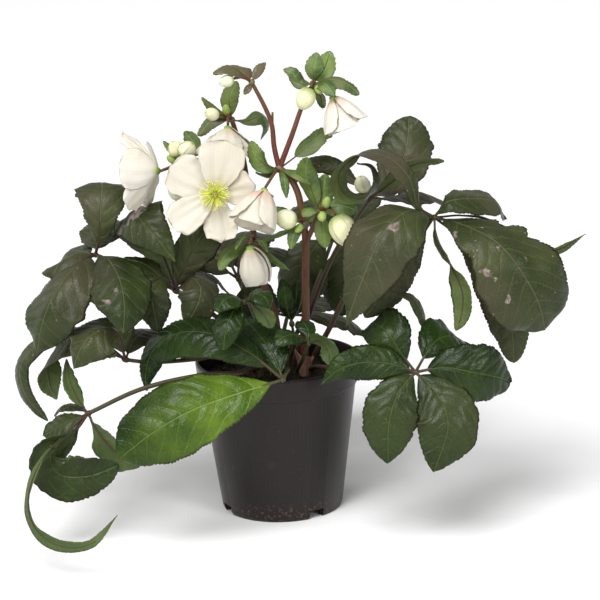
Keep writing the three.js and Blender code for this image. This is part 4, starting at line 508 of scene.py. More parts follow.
def bend(bm, columns, rows, formula, slot):
    """Adds a grid and bends it. formula(s, t) gives places, uv, vein and mark for arrays s and t."""
    verts = bmesh.ops.create_grid(bm, x_segments=columns, y_segments=rows, size=1.0)["verts"]
    s = np.array([v.co.x for v in verts])
    t = np.array([(v.co.y + 1) / 2 for v in verts])
    places, uv, vein, mark = formula(s, t)
    uv_layer = bm.loops.layers.uv["blade"]
    vein_layer = bm.verts.layers.float["vein"]
    mark_layer = bm.verts.layers.float_color["mark"]
    number = {v: i for i, v in enumerate(verts)}
    for v, place, c, m in zip(verts, (places * MM).tolist(), vein.tolist(), mark.tolist()):
        v.co = place
        v[vein_layer] = c
        v[mark_layer] = m
    flat = uv.tolist()
    for face in {face for v in verts for face in v.link_faces}:
        face.smooth = True
        face.material_index = slot
        for loop in face.loops:
            loop[uv_layer].uv = flat[number[loop.vert]]
    bmesh.ops.remove_doubles(bm, verts=verts, dist=WELD)
    return list({face for v in verts if v.is_valid for face in v.link_faces})


def blade(bm, columns, rows, formula, thickness, upper=UPPER, under=UNDER):
    """Adds a closed blade: a bent grid and its underside, `thickness` mm below, which meet at the edge."""

    def below(s, t):
        places, uv, vein, mark = formula(-s, t)
        cell = np.round((s + 1) / 2 * columns).astype(int), np.round(t * rows).astype(int)
        sheet = np.zeros((columns + 1, rows + 1, 3))
        sheet[cell] = places
        normal = unit(np.cross(np.gradient(sheet, axis=0), np.gradient(sheet, axis=1)))[cell]
        inside = (np.abs(s) < 0.999) & (t > 0.5 / rows) & (t < 1 - 0.5 / rows)
        return places + normal * (thickness * inside)[:, None], uv, vein, mark

    faces = bend(bm, columns, rows, formula, upper) + bend(bm, columns, rows, below, under)
    verts = list({v for face in faces for v in face.verts})
    bmesh.ops.remove_doubles(bm, verts=verts, dist=2 * WELD)


def outline(t, widest, fullness):
    """Half width of a leaf at share t of its length, 1 at the widest place."""
    rise = (t / widest) ** min(fullness * widest, 0.85)
    return rise * np.maximum((1 - t) / (1 - widest), 0) ** (fullness * (1 - widest))


def facing_at(facings, t):
    ways = np.array([facing(f) for f in facings])
    station = t * (len(ways) - 1)
    k = np.clip(np.floor(station), 0, max(len(ways) - 2, 0)).astype(int)
    nearer = ways[np.minimum(k + 1, len(ways) - 1)]
    return ways[k] + (nearer - ways[k]) * (station - k)[:, None]


def blade_axes(rib, facings, t):
    """The way across a blade and the way its upper side faces, at right angles to its rib."""
    way = rib.way(t)
    normal = facing_at(facings, t)
    normal = unit(normal - way * np.sum(normal * way, axis=1)[:, None])
    return np.cross(way, normal), normal


def drift(t, seed):
    """A slow, irregular wave between -1 and 1, different for every seed."""
    return (np.sin(5.3 * t + seed) + np.sin(11.7 * t + 2.1 * seed) + np.sin(19.1 * t + 3.7 * seed)) / 3


def clamp(x):
    return np.clip(x, 0, 1)


def hump(x):
    """1 at 0, and next to nothing beyond 2 on either side."""
    return np.exp(-(x**2))


print("grid tools ready")

# %% [markdown]
# ## Leaflets
#
# A hellebore leaflet is a thick, slightly quilted blade: the midrib and the side veins are sunk in its
# upper side, the panels between them bulge, and its edge carries small teeth that point to the tip. The
# outline comes from one formula, and a tooth takes three rows of the grid: a notch, a slope and a point.

# %% The leaflet's form
TOOTH, TOOTH_ROWS = 3.2, 3  # a tooth takes this many mm along the rib, and rows of the grid
LEAF_THICK, BRACT_THICK, SEPAL_THICK, SCALE_THICK, SHELL_THICK = 0.5, 0.4, 0.35, 0.3, 0.25  # mm
VEIN_STEP = 9  # from one side vein to the next, as the materials count


def side_veins(x, y, seed):
    """Millimetres across the pattern of side veins, which leave the rib and curve towards the tip."""
    bow = 0.8 * np.abs(x) + 0.012 * x**2
    return y - bow + 1.1 * np.sin(0.2 * y + seed) + 2.6 * clamp(x / 4)


def panels(vein, spacing):
    """0 on a side vein and 1 midway between two."""
    return 0.5 - 0.5 * np.cos(2 * pi * vein / spacing)


def leaflet(bm, hub, tone, seed, wear, dents, stations, half, facings, droop, bare=0.1, widest=0.56):
    """Adds one leaflet, and the rib under it, to a leaf's mesh."""
    rib = Rib([hub] + [at(station) for station in stations])
    teeth = max(8, round(rib.length * (1 - bare) / TOOTH))
    columns = 2 * min(11, max(4, round(half / 2.3)))
    rows = TOOTH_ROWS * teeth
    fold = radians(droop)
    spacing = 15 if half > 25 else 11 if half > 14 else 8
    depth = min(1.05, 0.055 * half)
    size = min(1, half / 18)
    ragged = np.random.default_rng(int(seed * 10)).uniform(0.1, 1.2, (2, teeth + 2))

    def formula(s, share):
        t = bare + (1 - bare) * share
        across, normal = blade_axes(rib, facings, t)
        edge = np.abs(s)
        side = (s > 0).astype(int)
        from_base = clamp(4 * share)

        # The outline: full, notched by teeth that fade at both ends, and bitten where it has dents.
        row = np.round(share * rows).astype(int)
        bite = ragged[side, row // TOOTH_ROWS] * (1 - row % TOOTH_ROWS / 2)
        bite = bite * clamp(6 * share) * clamp(12 - 12 * share)
        wide = half * outline(share, widest, 1.7) * (1 + 0.06 * drift(share * 2, seed + 4 * side))
        for hand, dent_at, dent_reach, dent_depth in dents:
            wide = wide - (s * hand > 0) * dent_depth * hump((share - dent_at) / dent_reach)
        reach = wide - depth * bite * edge**6
        x = s * wide
        y = (t - bare) * rib.length

        # The relief: quilted panels, the sunk midrib, a waved edge, a crumple and the fall to both sides.
        vein = side_veins(x, y, seed)
        quilt = 0.34 * size * panels(vein, spacing) ** 0.7 * clamp(np.abs(x) / 3) * (1 - edge**4)
        groove = 0.55 * size * hump(x / 1.3) * clamp(share * 8)
        phase = 1.9 * t + np.where(s > 0, 0.2, 0.55)
        ripple = 0.09 * half * share * np.sin(2 * pi * phase + seed) * edge**1.5
        flutter = 0.018 * half * np.sin(2 * pi * 7.3 * share + seed + 2 * side) * edge**3 * from_base
        crumple = 2.0 * np.sin(0.17 * x + 0.09 * y + seed) * np.sin(0.13 * y - 0.11 * x + 2 * seed)
        crumple *= 0.5 * size * from_base * (0.15 + 0.85 * clamp(np.abs(x) / 8))
        curl = 0.1 * wide * edge**3 * (0.5 + drift(share * 1.5, seed + 2 * side))
        fall = curl + edge**1.25 * wide * sin(fold)
        lift = ripple + flutter + quilt - groove + crumple - fall + LEAF_THICK / 2
        places = rib.place(t) + across * (s * reach * cos(fold))[:, None] + normal * lift[:, None]

        harm, up_at, side_at, up_reach, side_reach = wear
        scar = harm * np.exp(-(((share - up_at) / up_reach) ** 2) - ((s - side_at) / side_reach) ** 2)
        mark = stack(tone, share, edge, scar)
        return places, stack(x, y), vein * VEIN_STEP / spacing, mark

    blade(bm, columns, rows, formula, LEAF_THICK)
    stalk = min(1.25, 0.62 + half * 0.03)

    def thin_out(t):
        return stalk * (1 - 0.8 * t)

    def under(t):
        sunk = clamp((t - bare) * 12) * (thin_out(t) + 0.45)
        return -unit(facing_at(facings, t)) * sunk[:, None]

    tube(bm, rib, thin_out, 7, max(8, round(rib.length / 4)), STALK, under, tone, 0.93)


print("a leaflet's outline at its middle:", round(float(outline(0.5, 0.56, 1.7)), 3))

# %% [markdown]
# ## Stalks and branches
#
# Stalks could be curve objects with a round bevel, but then their ends stay open and their pattern needs
# a special map. Rolling a grid into a tube keeps one tool for the whole plant. The frame that carries the
# ring is turned along with the curve, row by row, so that the tube never twists.

# %% The tube tool
def tube(bm, rib, radius, columns, rows, slot, shift=None, tone=0.0, until=1.0):
    """Adds a closed tube round a rib. radius(t) is its radius and shift(t) moves it off the rib."""
    shares = np.concatenate(([0], np.linspace(0, until, rows - 1), [until]))
    centres, ways = rib.place(shares), rib.way(shares)
    if shift:
        centres = centres + shift(shares)
    thick = np.array([radius(t) for t in shares])
    thick[[0, -1]] = 0
    normals = [np.array((0.31, -0.95, 0.04))]
    for way in ways:
        normals.append(unit(normals[-1] - way * normals[-1].dot(way)))
    normals = np.array(normals[1:])
    sides = np.cross(ways, normals)

    def formula(s, t):
        k = np.round(t * rows).astype(int)
        angle = pi * (s + 1)
        ring = normals[k] * np.cos(angle)[:, None] + sides[k] * np.sin(angle)[:, None]
        along = shares[k]
        uv = stack(angle * thick.max(), along * rib.length)
        return centres[k] + ring * thick[k][:, None], uv, along * 0, stack(tone, along, 0, 0)

    bend(bm, columns, rows, formula, slot)


def egg(bm, base, tip, radius, slot, columns=12, rows=10, tone=0.0):
    """Adds a pointed egg between two points."""

    def swell(t):
        return radius * outline(min(max(t, 1e-6), 1), 0.42, 0.95)

    tube(bm, Rib([base, (base + tip) / 2, tip]), swell, columns, rows, slot, tone=tone)


SOIL_TOP, HOLE, FIT = 108, 24, 0.35  # a stalk stands in a hole of this depth, this far off its floor


def from_soil(foot, stations):
    """The points of a stalk that rises straight out of its hole and then follows its stations."""
    heights = (FIT - HOLE, -6, 0, 3, 8)
    return [np.array((*foot, SOIL_TOP + z)) for z in heights] + [at(station) for station in stations]


print("a stalk starts", SOIL_TOP + FIT - HOLE, "mm above the floor")

# %% [markdown]
# ## From mesh to piece
#
# A finished piece is one object at the origin, with its place in its mesh. It rides on the only body that
# a potted plant has, and it stands for the drafted node of the same name.

# %% Finishing a piece
made = []


def mesh_object(bm, name):
    """Turns a mesh under way into an object."""
    mesh = bpy.data.meshes.new(name)
    bm.to_mesh(mesh)
    bm.free()
    return add_object(name, mesh)


def finish_piece(bm, node, slot, *materials):
    """Turns a mesh under way into the piece that stands for a drafted node."""
    piece = mesh_object(bm, node + "_fine")
    mesh = piece.data
    for material in materials:
        mesh.materials.append(material)
    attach(piece, "root")
    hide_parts(node)
    mesh.calc_loop_triangles()
    made.append((piece.name, len(mesh.loop_triangles)))
    return piece


def tell(label, count):
    print(label, count, "triangles so far:", sum(triangles for _, triangles in made))


print("pieces so far:", len(made))

# %% [markdown]
# ## A way to mix finishes
#
# Every finish is a short recipe of noise, bands and mixes. Writing each node by hand hides the recipe, so a
# small class adds a node and wires it in one call. Patterns read the object's own coordinates, or the
# blade's UV map and marks where they must follow the veins.

# %% Node helpers
class Finish:
    """A material under way."""

    def __init__(self, name, roughness=0.5, specular=0.5):
        self.material = bpy.data.materials.new(name)
        self.material.use_nodes = True
        self.nodes = self.material.node_tree.nodes
        self.links = self.material.node_tree.links
        self.shader = self.nodes["Principled BSDF"]
        self.shader.inputs["Roughness"].default_value = roughness
        self.shader.inputs["Specular IOR Level"].default_value = specular
        self.place = self.nodes.new("ShaderNodeTexCoord").outputs["Object"]

    def put(self, value, socket):
        if isinstance(value, bpy.types.NodeSocket):
            self.links.new(value, socket)
        elif isinstance(value, tuple):
            socket.default_value = (*value, 1.0) if len(socket.default_value) == 4 else value
        else:
            socket.default_value = value

    def node(self, kind, **values):
        """A new node with the given values or links on its inputs."""
        node = self.nodes.new("ShaderNode" + kind)
        for name, value in values.items():
            self.put(value, node.inputs[name.replace("_", " ")])
        return node

    def math(self, operation, a, b=0.0):
        node = self.nodes.new("ShaderNodeMath")
        node.operation = operation
        self.put(a, node.inputs[0])
        self.put(b, node.inputs[1])
        return node.outputs[0]

    def chain(self, operation, values):
        total = values[0]
        for value in values[1:]:
            total = self.math(operation, total, value)
        return total

    def add(self, *values):
        return self.chain("ADD", values)

    def times(self, *values):
        return self.chain("MULTIPLY", values)

    def rest(self, value, whole=1.0):
        """What is left when the value is taken from the whole."""
        return self.math("SUBTRACT", whole, value)

    def band(self, value, low, high):
        """0 below low, 1 above high and smooth between."""
        node = self.node("MapRange", Value=value, From_Min=low, From_Max=high)
        node.interpolation_type = "SMOOTHSTEP"
        return node.outputs["Result"]

    def fade(self, value, low, high):
        """1 below low, 0 above high and smooth between."""
        return self.rest(self.band(value, low, high))

    def mix(self, share, a, b):
        node = self.nodes.new("ShaderNodeMix")
        node.data_type = "RGBA"
        for value, number in ((share, 0), (a, 6), (b, 7)):
            self.put(value, node.inputs[number])
        return node.outputs[2]

    def paint(self, color, *shares):
        """Lays a colour over the present one, by the product of the shares."""
        self.color = self.mix(self.times(*shares), self.color, color)

    def noise(self, scale, detail=3, vector=None):
        return self.node("TexNoise", Scale=scale, Detail=detail, Vector=vector or self.place).outputs["Fac"]

    def cells(self, scale, feature="F1", vector=None):
        """Cells round scattered points: a random colour for each, and the distance to its point or edge."""
        node = self.node("TexVoronoi", Scale=scale, Vector=vector or self.place)
        node.feature = feature
        return node.outputs

    def stretched(self, vector, scale):
        return self.node("Mapping", Vector=vector, Scale=scale).outputs["Vector"]

    def axes(self, vector):
        return self.node("SeparateXYZ", Vector=vector).outputs

    def attribute(self, name):
        node = self.nodes.new("ShaderNodeAttribute")
        node.attribute_name = name
        return node.outputs

    def blade_marks(self):
        """The blade's UV, its vein pattern, and the tone, share along, edge and wear."""
        uv = self.nodes.new("ShaderNodeUVMap")
        uv.uv_map = "blade"
        mark = self.attribute("mark")
        split = self.node("SeparateColor", Color=mark["Color"])
        return (uv.outputs["UV"], self.attribute("vein")["Fac"], *split.outputs, mark["Alpha"])

    def relief(self, height, depth):
        """Bumps of `height`, in units of `depth` mm."""
        node = self.node("Bump", Strength=1.0, Distance=depth * MM, Height=height)
        self.links.new(node.outputs["Normal"], self.shader.inputs["Normal"])

    def finish(self, roughness=None):
        self.put(self.color, self.shader.inputs["Base Color"])
        if roughness is not None:
            self.put(roughness, self.shader.inputs["Roughness"])
        return self.material


def tinted(color, factor):
    return tuple(factor * c for c in color)


print("finish helpers ready")

# %% [markdown]
# ## Leaf skin
#
# Old leaves are a dull, dark grey-green with a brown cast, pale flecks and a few scarred patches. Young
# ones are glossy, and the newest is yellow-green. One recipe serves them all: a tone of 0 is old, 0.5 is
# deep green and 1 is the newest. Veins come from the marks, so that they run as the quilting does.

# %% Upper and under sides of a leaf
def leaf_colors(f, under, cloud, cast, along, fresh, bright):
    """The colours of an old, a deep green and a new leaf, and of the veins."""
    if under:
        old = f.mix(cloud, (0.058, 0.090, 0.022), (0.086, 0.114, 0.034))
        deep = f.mix(cloud, (0.050, 0.085, 0.022), (0.075, 0.115, 0.034))
        newest = f.mix(cloud, (0.100, 0.170, 0.036), (0.120, 0.200, 0.046))
        return old, deep, newest, (0.130, 0.140, 0.070)
    old = f.mix(cloud, (0.022, 0.032, 0.008), (0.050, 0.058, 0.019))
    old = f.mix(f.times(cast, f.rest(f.times(along, 0.6), 0.95)), old, (0.072, 0.058, 0.036))
    old = f.mix(f.times(f.band(along, 0.35, 1.0), 0.5), old, (0.017, 0.030, 0.006))
    deep = f.mix(cloud, (0.005, 0.016, 0.002), (0.016, 0.036, 0.004))
    newest = f.mix(cloud, (0.046, 0.096, 0.006), (0.112, 0.185, 0.014))
    young_veins = f.mix(bright, (0.046, 0.078, 0.014), (0.210, 0.290, 0.060))
    return old, deep, newest, f.mix(fresh, (0.098, 0.104, 0.046), young_veins)


def leaf_skin(name, under):
    f = Finish(name, specular=0.2)
    uv, vein, tone, along, edge, wear = f.blade_marks()
    x = f.axes(uv)["X"]
    fresh = f.band(tone, 0.0, 0.5)
    aged = f.rest(fresh)

    # The pattern of the veins: midrib, side veins, and a net between them.
    rib = f.fade(f.math("ABSOLUTE", x), 0.2, 0.9)
    fold = f.math("PINGPONG", f.add(vein, f.times(f.noise(0.22, 2, uv), 1.6)), VEIN_STEP / 2)
    inner = f.fade(edge, 0.75, 1.0)
    side = f.times(f.fade(fold, 0.1, 0.7), inner)
    panel = f.times(f.band(fold, 0.2, 3.4), inner)
    to_net = f.cells(0.36, "DISTANCE_TO_EDGE", uv)["Distance"]
    cushion = f.band(to_net, 0.0, 0.4)
    net = f.fade(to_net, 0.01, 0.09)

    # Green, darker towards the tip, with paler veins and a browned edge. On young leaves one half of the
    # blade, beside the midrib, is painted darker as shade: it gets less of the bright new green.
    painted_shade_half = f.times(f.band(x, 2, 22), 0.4)
    tip_and_painted_shade = f.add(f.times(f.band(along, 0.2, 0.95), 0.7), painted_shade_half, f.times(f.noise(17, 2), 0.3))
    bright = f.times(f.band(tone, 0.5, 1.0), f.rest(tip_and_painted_shade, 1.15))
    cloud = f.band(f.noise(26, 4), 0.35, 0.65)
    cast = f.band(f.noise(11, 2), 0.42, 0.62)
    old, deep, newest, veins = leaf_colors(f, under, cloud, cast, along, fresh, bright)
    f.color = f.mix(bright, f.mix(fresh, old, deep), newest)
    lines = f.math("MINIMUM", 1.0, f.add(f.times(rib, 0.7), f.times(side, 0.26), f.times(net, 0.17)))
    f.paint(veins, lines)
    f.paint((0.050, 0.030, 0.019), f.band(edge, 0.9, 1.0), 0.45, f.rest(bright))

    # Age: pale flecks, and crusted scars where the leaflet is marked as worn.
    flecks = f.cells(135)
    lone = f.band(flecks["Color"], 0.56, 0.60)
    f.paint((0.34, 0.30, 0.16), f.fade(flecks["Distance"], 0.05, 0.13), lone, aged, 0.6)
    scarred = f.band(f.add(f.noise(70, 6), f.times(wear, 0.3), f.times(aged, 0.015)), 0.73, 0.77)
    crust = f.mix(f.band(f.noise(330, 4), 0.4, 0.6), (0.30, 0.24, 0.22), (0.13, 0.095, 0.08))
    f.paint(crust, scarred, 0.85)

    gloss = f.rest(f.times(fresh, 0.10), 0.60) if under else f.rest(f.times(fresh, 0.08), 0.28)
    roughness = f.add(gloss, f.times(f.noise(45, 3), 0.12), f.times(scarred, 0.3), f.times(fresh, -0.03),
        f.times(bright, -0.05))
    sunk = f.add(f.times(rib, 0.6), f.times(side, 0.3), f.times(net, 0.1))
    raised = f.times(panel, f.add(0.2, f.times(bright, 0.5)))
    quilted = f.times(cushion, f.add(0.04, f.times(bright, 0.03)))
    form = f.times(f.add(raised, quilted, f.times(sunk, -1.0)), -0.8 if under else 1.0)
    uneven = f.times(f.noise(70, 2), f.add(0.18, f.times(bright, 0.5)))
    f.relief(f.add(form, f.times(f.noise(420, 3), 0.05), uneven), 0.8)
    return f.finish(roughness)


leaf_upper = leaf_skin("leaf_upper", False)
leaf_under = leaf_skin("leaf_under", True)
print("leaf skins:", leaf_upper.name, leaf_under.name)

# %% [markdown]
# ## Stalk skin
#
# Leaf stalks are reddish brown where the sun reaches them and turn green under the leaflets. Flower stems
# are a warmer red-brown, with fine dark points and faint lengthwise streaks. The papery scales at a stem's
# foot take the same recipe in faded pink and beige.

# %% Leaf stalks and flower stems
def stalk_skin(name, red, dark, green):
    f = Finish(name, specular=0.3)
    uv, _, tone, along, _, _ = f.blade_marks()
    streak = f.noise(1.0, 3, f.stretched(uv, (2.2, 0.12, 1)))
    f.color = f.mix(f.band(streak, 0.35, 0.7), red, dark)
    f.paint(green, f.band(f.noise(34, 2), 0.45, 0.7), 0.5)
    f.paint(green, f.band(tone, 0.2, 0.9), 0.65)
    f.paint(green, f.band(along, 0.35, 0.9), 0.5)
    points = f.fade(f.cells(900)["Distance"], 0.15, 0.35)
    f.paint(tinted(dark, 0.4), points, 0.35)
    f.relief(f.add(f.times(streak, 0.8), f.times(points, -0.3)), 0.22)
    return f.finish(f.add(0.42, f.times(streak, 0.15)))


leaf_stalk = stalk_skin("leaf_stalk", (0.068, 0.032, 0.021), (0.034, 0.018, 0.012), (0.058, 0.072, 0.022))
stem_skin = stalk_skin("stem_skin", (0.150, 0.044, 0.026), (0.076, 0.020, 0.011), (0.115, 0.078, 0.028))
scale_skin = stalk_skin("scale_skin", (0.42, 0.25, 0.19), (0.22, 0.10, 0.075), (0.30, 0.27, 0.13))
print("stalk skins:", leaf_stalk.name, stem_skin.name, scale_skin.name)

# %% [markdown]
# ## Bract, petal and bud skins
#
# Bracts are fresh green, and the oldest are flushed with purple-brown. What looks like a petal is a sepal:
# warm white, matt and a little translucent, with fine veins that fan from its base and a blush of pink or
# green there. Buds are the same sepals, still cream and green.

# %% Bracts
def bract_skin(name, light):
    f = Finish(name)
    uv, vein, tone, _, edge, _ = f.blade_marks()
    rib = f.fade(f.math("ABSOLUTE", f.axes(uv)["X"]), 0.1, 0.6)
    side = f.fade(f.math("PINGPONG", vein, VEIN_STEP / 2), 0.1, 0.9)
    net = f.fade(f.cells(0.7, "DISTANCE_TO_EDGE", uv)["Distance"], 0.01, 0.1)
    cloud = f.band(f.noise(60, 3), 0.35, 0.65)
    f.color = f.mix(cloud, tinted((0.036, 0.082, 0.009), light), tinted((0.120, 0.185, 0.030), light))
    lines = f.math("MINIMUM", 1.0, f.add(f.times(rib, 0.7), f.times(side, 0.35), f.times(net, 0.15)))
    f.paint((0.190, 0.250, 0.095), lines)
    browned = f.add(tone, f.times(f.noise(60, 3), 0.7), f.times(edge, 0.25))
    f.paint((0.095, 0.062, 0.034), f.band(browned, 0.62, 1.25), 0.8)
    f.relief(f.add(f.times(lines, -0.8), f.times(f.noise(300, 3), 0.3)), 0.3)
    return f.finish(f.add(0.36, f.times(cloud, 0.14)))


bract_upper = bract_skin("bract_upper", 1.0)
bract_under = bract_skin("bract_under", 1.7)
print("bract skins:", bract_upper.name, bract_under.name)


# %% Sepals and buds
def sepal_skin(name, white, cream, foot, foot_reach):
    f = Finish(name, specular=0.35)
    uv, vein, tone, along, _, _ = f.blade_marks()
    f.shader.inputs["Subsurface Weight"].default_value = 0.25
    f.shader.inputs["Subsurface Scale"].default_value = 0.002
    f.shader.inputs["Subsurface Radius"].default_value = (1.0, 0.8, 0.5)
    from_tip = f.rest(along)
    cloud = f.band(f.noise(36, 3), 0.3, 0.7)
    f.color = f.mix(cloud, white, cream)
    wander = f.add(vein, f.times(f.noise(0.25, 2, uv), 0.5))
    fan = f.fade(f.math("PINGPONG", wander, 0.5), 0.03, 0.2)
    f.paint(tinted(cream, 0.78), fan, 0.09)
    f.paint((0.62, 0.30, 0.20), tone, f.band(f.add(f.times(f.noise(55, 3), 0.5), from_tip), 0.75, 1.35))
    f.paint(foot, f.band(from_tip, 1 - foot_reach, 1.0), 0.9)
    spots = f.band(f.cells(340)["Color"], 0.8, 0.9)
    f.paint((0.66, 0.34, 0.16), tone, spots, f.band(f.noise(48, 2), 0.52, 0.62), 0.4)
    f.relief(f.add(f.times(fan, -0.3), f.times(f.noise(160, 4), 0.6)), 0.2)
    return f.finish(f.add(0.46, f.times(cloud, 0.12)))


SEPAL_FOOT = (0.58, 0.62, 0.28)
# The lighter copy of the white sepal finish carries painted light, for the flowers that face away from the
# key light.
sepal_painted_lighter = sepal_skin("sepal_painted_lighter", (0.78, 0.735, 0.65), (0.73, 0.67, 0.57), SEPAL_FOOT, 0.2)
sepal_white = sepal_skin("sepal_white", (0.665, 0.622, 0.53), (0.64, 0.58, 0.47), SEPAL_FOOT, 0.2)
bud_cream = sepal_skin("bud_cream", (0.82, 0.80, 0.55), (0.79, 0.77, 0.43), (0.30, 0.40, 0.10), 0.42)
bud_green = sepal_skin("bud_green", (0.36, 0.44, 0.13), (0.26, 0.36, 0.08), (0.12, 0.21, 0.04), 0.5)
print("petal skins:", sepal_painted_lighter.name, sepal_white.name, bud_cream.name, bud_green.name)


# %% Stamens, nectaries and pistils
def small_skin(name, light, dark, tip, roughness):
    f = Finish(name, roughness)
    along = f.blade_marks()[3]
    f.color = f.mix(f.band(f.noise(260, 3), 0.35, 0.65), light, dark)
    f.paint(tip, f.band(along, 0.6, 1.0))
    f.relief(f.noise(700, 2), 0.12)
    return f.finish()


filament = small_skin("filament", (0.74, 0.76, 0.17), (0.62, 0.66, 0.08), (0.78, 0.77, 0.28), 0.5)
anther = small_skin("anther", (0.76, 0.74, 0.26), (0.66, 0.62, 0.14), (0.80, 0.77, 0.38), 0.75)
nectary = small_skin("nectary", (0.50, 0.58, 0.04), (0.40, 0.50, 0.02), (0.62, 0.68, 0.08), 0.4)
pistil = small_skin("pistil", (0.56, 0.58, 0.16), (0.48, 0.50, 0.10), (0.40, 0.24, 0.12), 0.45)
print("small skins:", filament.name, anther.name, nectary.name, pistil.name)

# %% [markdown]
# ## The leaves
#
# Each leaf is one piece: leaflets that spread from a hub, the hub's knuckle and the stalk, which runs down
# into the soil. The leaves differ in age, so every leaflet gets its tone, and a few carry scars or bites.

# %% Leaves
YOUNG = ("leaf_front", "young_leaf_left", "young_leaf_right", "young_leaf_centre")
KNUCKLE, KNUCKLE_REACH = 2.3, 3.2  # the knuckle's radius, and its reach to both sides of the hub
# The tones of a leaf's leaflets. The last one serves the leaflets that follow it and the stalk.
TONES = {
    "leaf_left_high": (0.12, 0.1, 0.2, 0.26, 0.22, 0.16), "leaf_left_inner": (0.2,),
    "leaf_left_low": (0.12,), "leaf_left_front": (0.3,), "leaf_back_left": (0.15,),
    "leaf_back_right": (0.15,), "leaf_back_low": (0.15,), "leaf_front": (1.0, 0.45, 0.45),
    "leaf_right_low": (0.4, 0.4, 0.45, 0.42, 0.3, 0.3),
}
# A worn place is [how worn, its middle as share along and across, its reach along and across].
WEAR = {
    ("leaf_left_inner", 0): (1.15, 0.61, 0, 0.045, 1.5), ("leaf_left_high", 3): (0.5, 0.7, 0.5, 0.3, 0.5),
    ("leaf_left_low", 0): (0.45, 0.2, 0, 0.3, 1), ("leaf_right_high", 0): (0.42, 0.42, 0, 0.2, 0.5),
    ("leaf_right_high", 4): (0.5, 0.3, 0.6, 0.3, 0.6),
}
NO_WEAR = (0, 0, 0, 1, 1)
# A bite in the edge is [side, its middle as share along, its reach, its depth in mm].
DENTS = {("leaf_right_high", 4): ((-1, 0.3, 0.03, 7), (-1, 0.45, 0.025, 6), (1, 0.3, 0.06, 4))}

for number, (name, leaf) in enumerate(LEAVES.items()):
    young = name in YOUNG
    bm = new_mesh()
    hub = at(leaf["stalk"][-1])
    tones = TONES.get(name, (0.5 if young else 0.0,))
    for i, form in enumerate(leaf["leaflets"]):
        tone = tones[min(i, len(tones) - 1)]
        seed = 1.0 + 1.7 * number + 0.9 * i
        leaflet(bm, hub, tone, seed, WEAR.get((name, i), NO_WEAR), DENTS.get((name, i), ()), *form)
    stalk = Rib(from_soil(leaf["foot"], leaf["stalk"]))
    thick = leaf["thick"]
    tube(bm, stalk, lambda t: thick * (1 - 0.28 * t), 14, round(stalk.length / 3), STALK, tone=tones[-1])
    knuckle = stalk.way(1.0) * KNUCKLE_REACH
    egg(bm, hub - knuckle, hub + knuckle, KNUCKLE, STALK, tone=tones[-1])
    finish_piece(bm, name, "leaf_young" if young else "leaf_old", leaf_upper, leaf_under, leaf_stalk)
tell("leaves:", len(LEAVES))

# %% [markdown]
# ## The flower stems
#
# A stem is a main stalk with thinner branches, each a tube that starts inside the one it leaves. The
# smallest buds sit on short side shoots and belong to the stem. Papery scales wrap the stem's foot.

# %% Stems
STEM, SMALL_BUD, SCALE = 0, 1, 2  # the materials of a flower stem


def scale(bm, foot, inner, high, turn_by):
    """A papery scale that clasps a stem's foot and stands off it at its pointed top."""
    x, y = foot

    def formula(s, t):
        narrow = np.sqrt(clamp(1 - t**2.2)) * (0.75 + 0.5 * t * (1 - t))
        angle = turn_by - 1.5 * s * narrow
        radius = inner + 0.5 + 3.4 * t**1.7 + 0.25 * np.sin(9 * angle + 3 * t)
        z = SOIL_TOP - 2 + high * t * (1 - 0.05 * np.abs(s) * t)
        places = stack(x + radius * np.cos(angle), y + radius * np.sin(angle), z)
        return places, stack(s * 6, t * high), s * 8, stack(0, t * 0.3, np.abs(s), 0)

    blade(bm, 16, 18, formula, SCALE_THICK, SCALE, SCALE)


def taper(start, end):
    return lambda t: start + (end - start) * t


for name, stem in STEMS.items():
    bm = new_mesh()
    for high, turn_by in stem["scales"]:
        scale(bm, stem["foot"], stem["thick"], high, turn_by)
    stalk = Rib(from_soil(stem["foot"], stem["stalk"]))
    tube(bm, stalk, taper(stem["thick"], stem["tip"]), 18, round(stalk.length / 2.5), STEM)
    for stations, first, last in stem["branches"]:
        branch = Rib([at(station) for station in stations])
        tube(bm, branch, taper(first, last), 12, max(8, round(branch.length / 2)), STEM, tone=0.2)
    for base, tip, radius in stem["buds"]:
        egg(bm, at(base), at(tip), radius, SMALL_BUD, 14, 14)
    finish_piece(bm, name, "stem", stem_skin, bud_green, scale_skin)
tell("stems:", len(STEMS))

# %% [markdown]
# ## The tufts of bracts
#
# A bract is a small leaf without a stalk. It is bent from a grid as a leaflet is, with fewer teeth, which
# only show near its tip, and a waved edge.

# %% Bracts
BRACT_VEINS = 5  # mm from one side vein to the next
KNOT = 0.74  # radius of the knot in a tuft's middle, as a share of the tuft's size


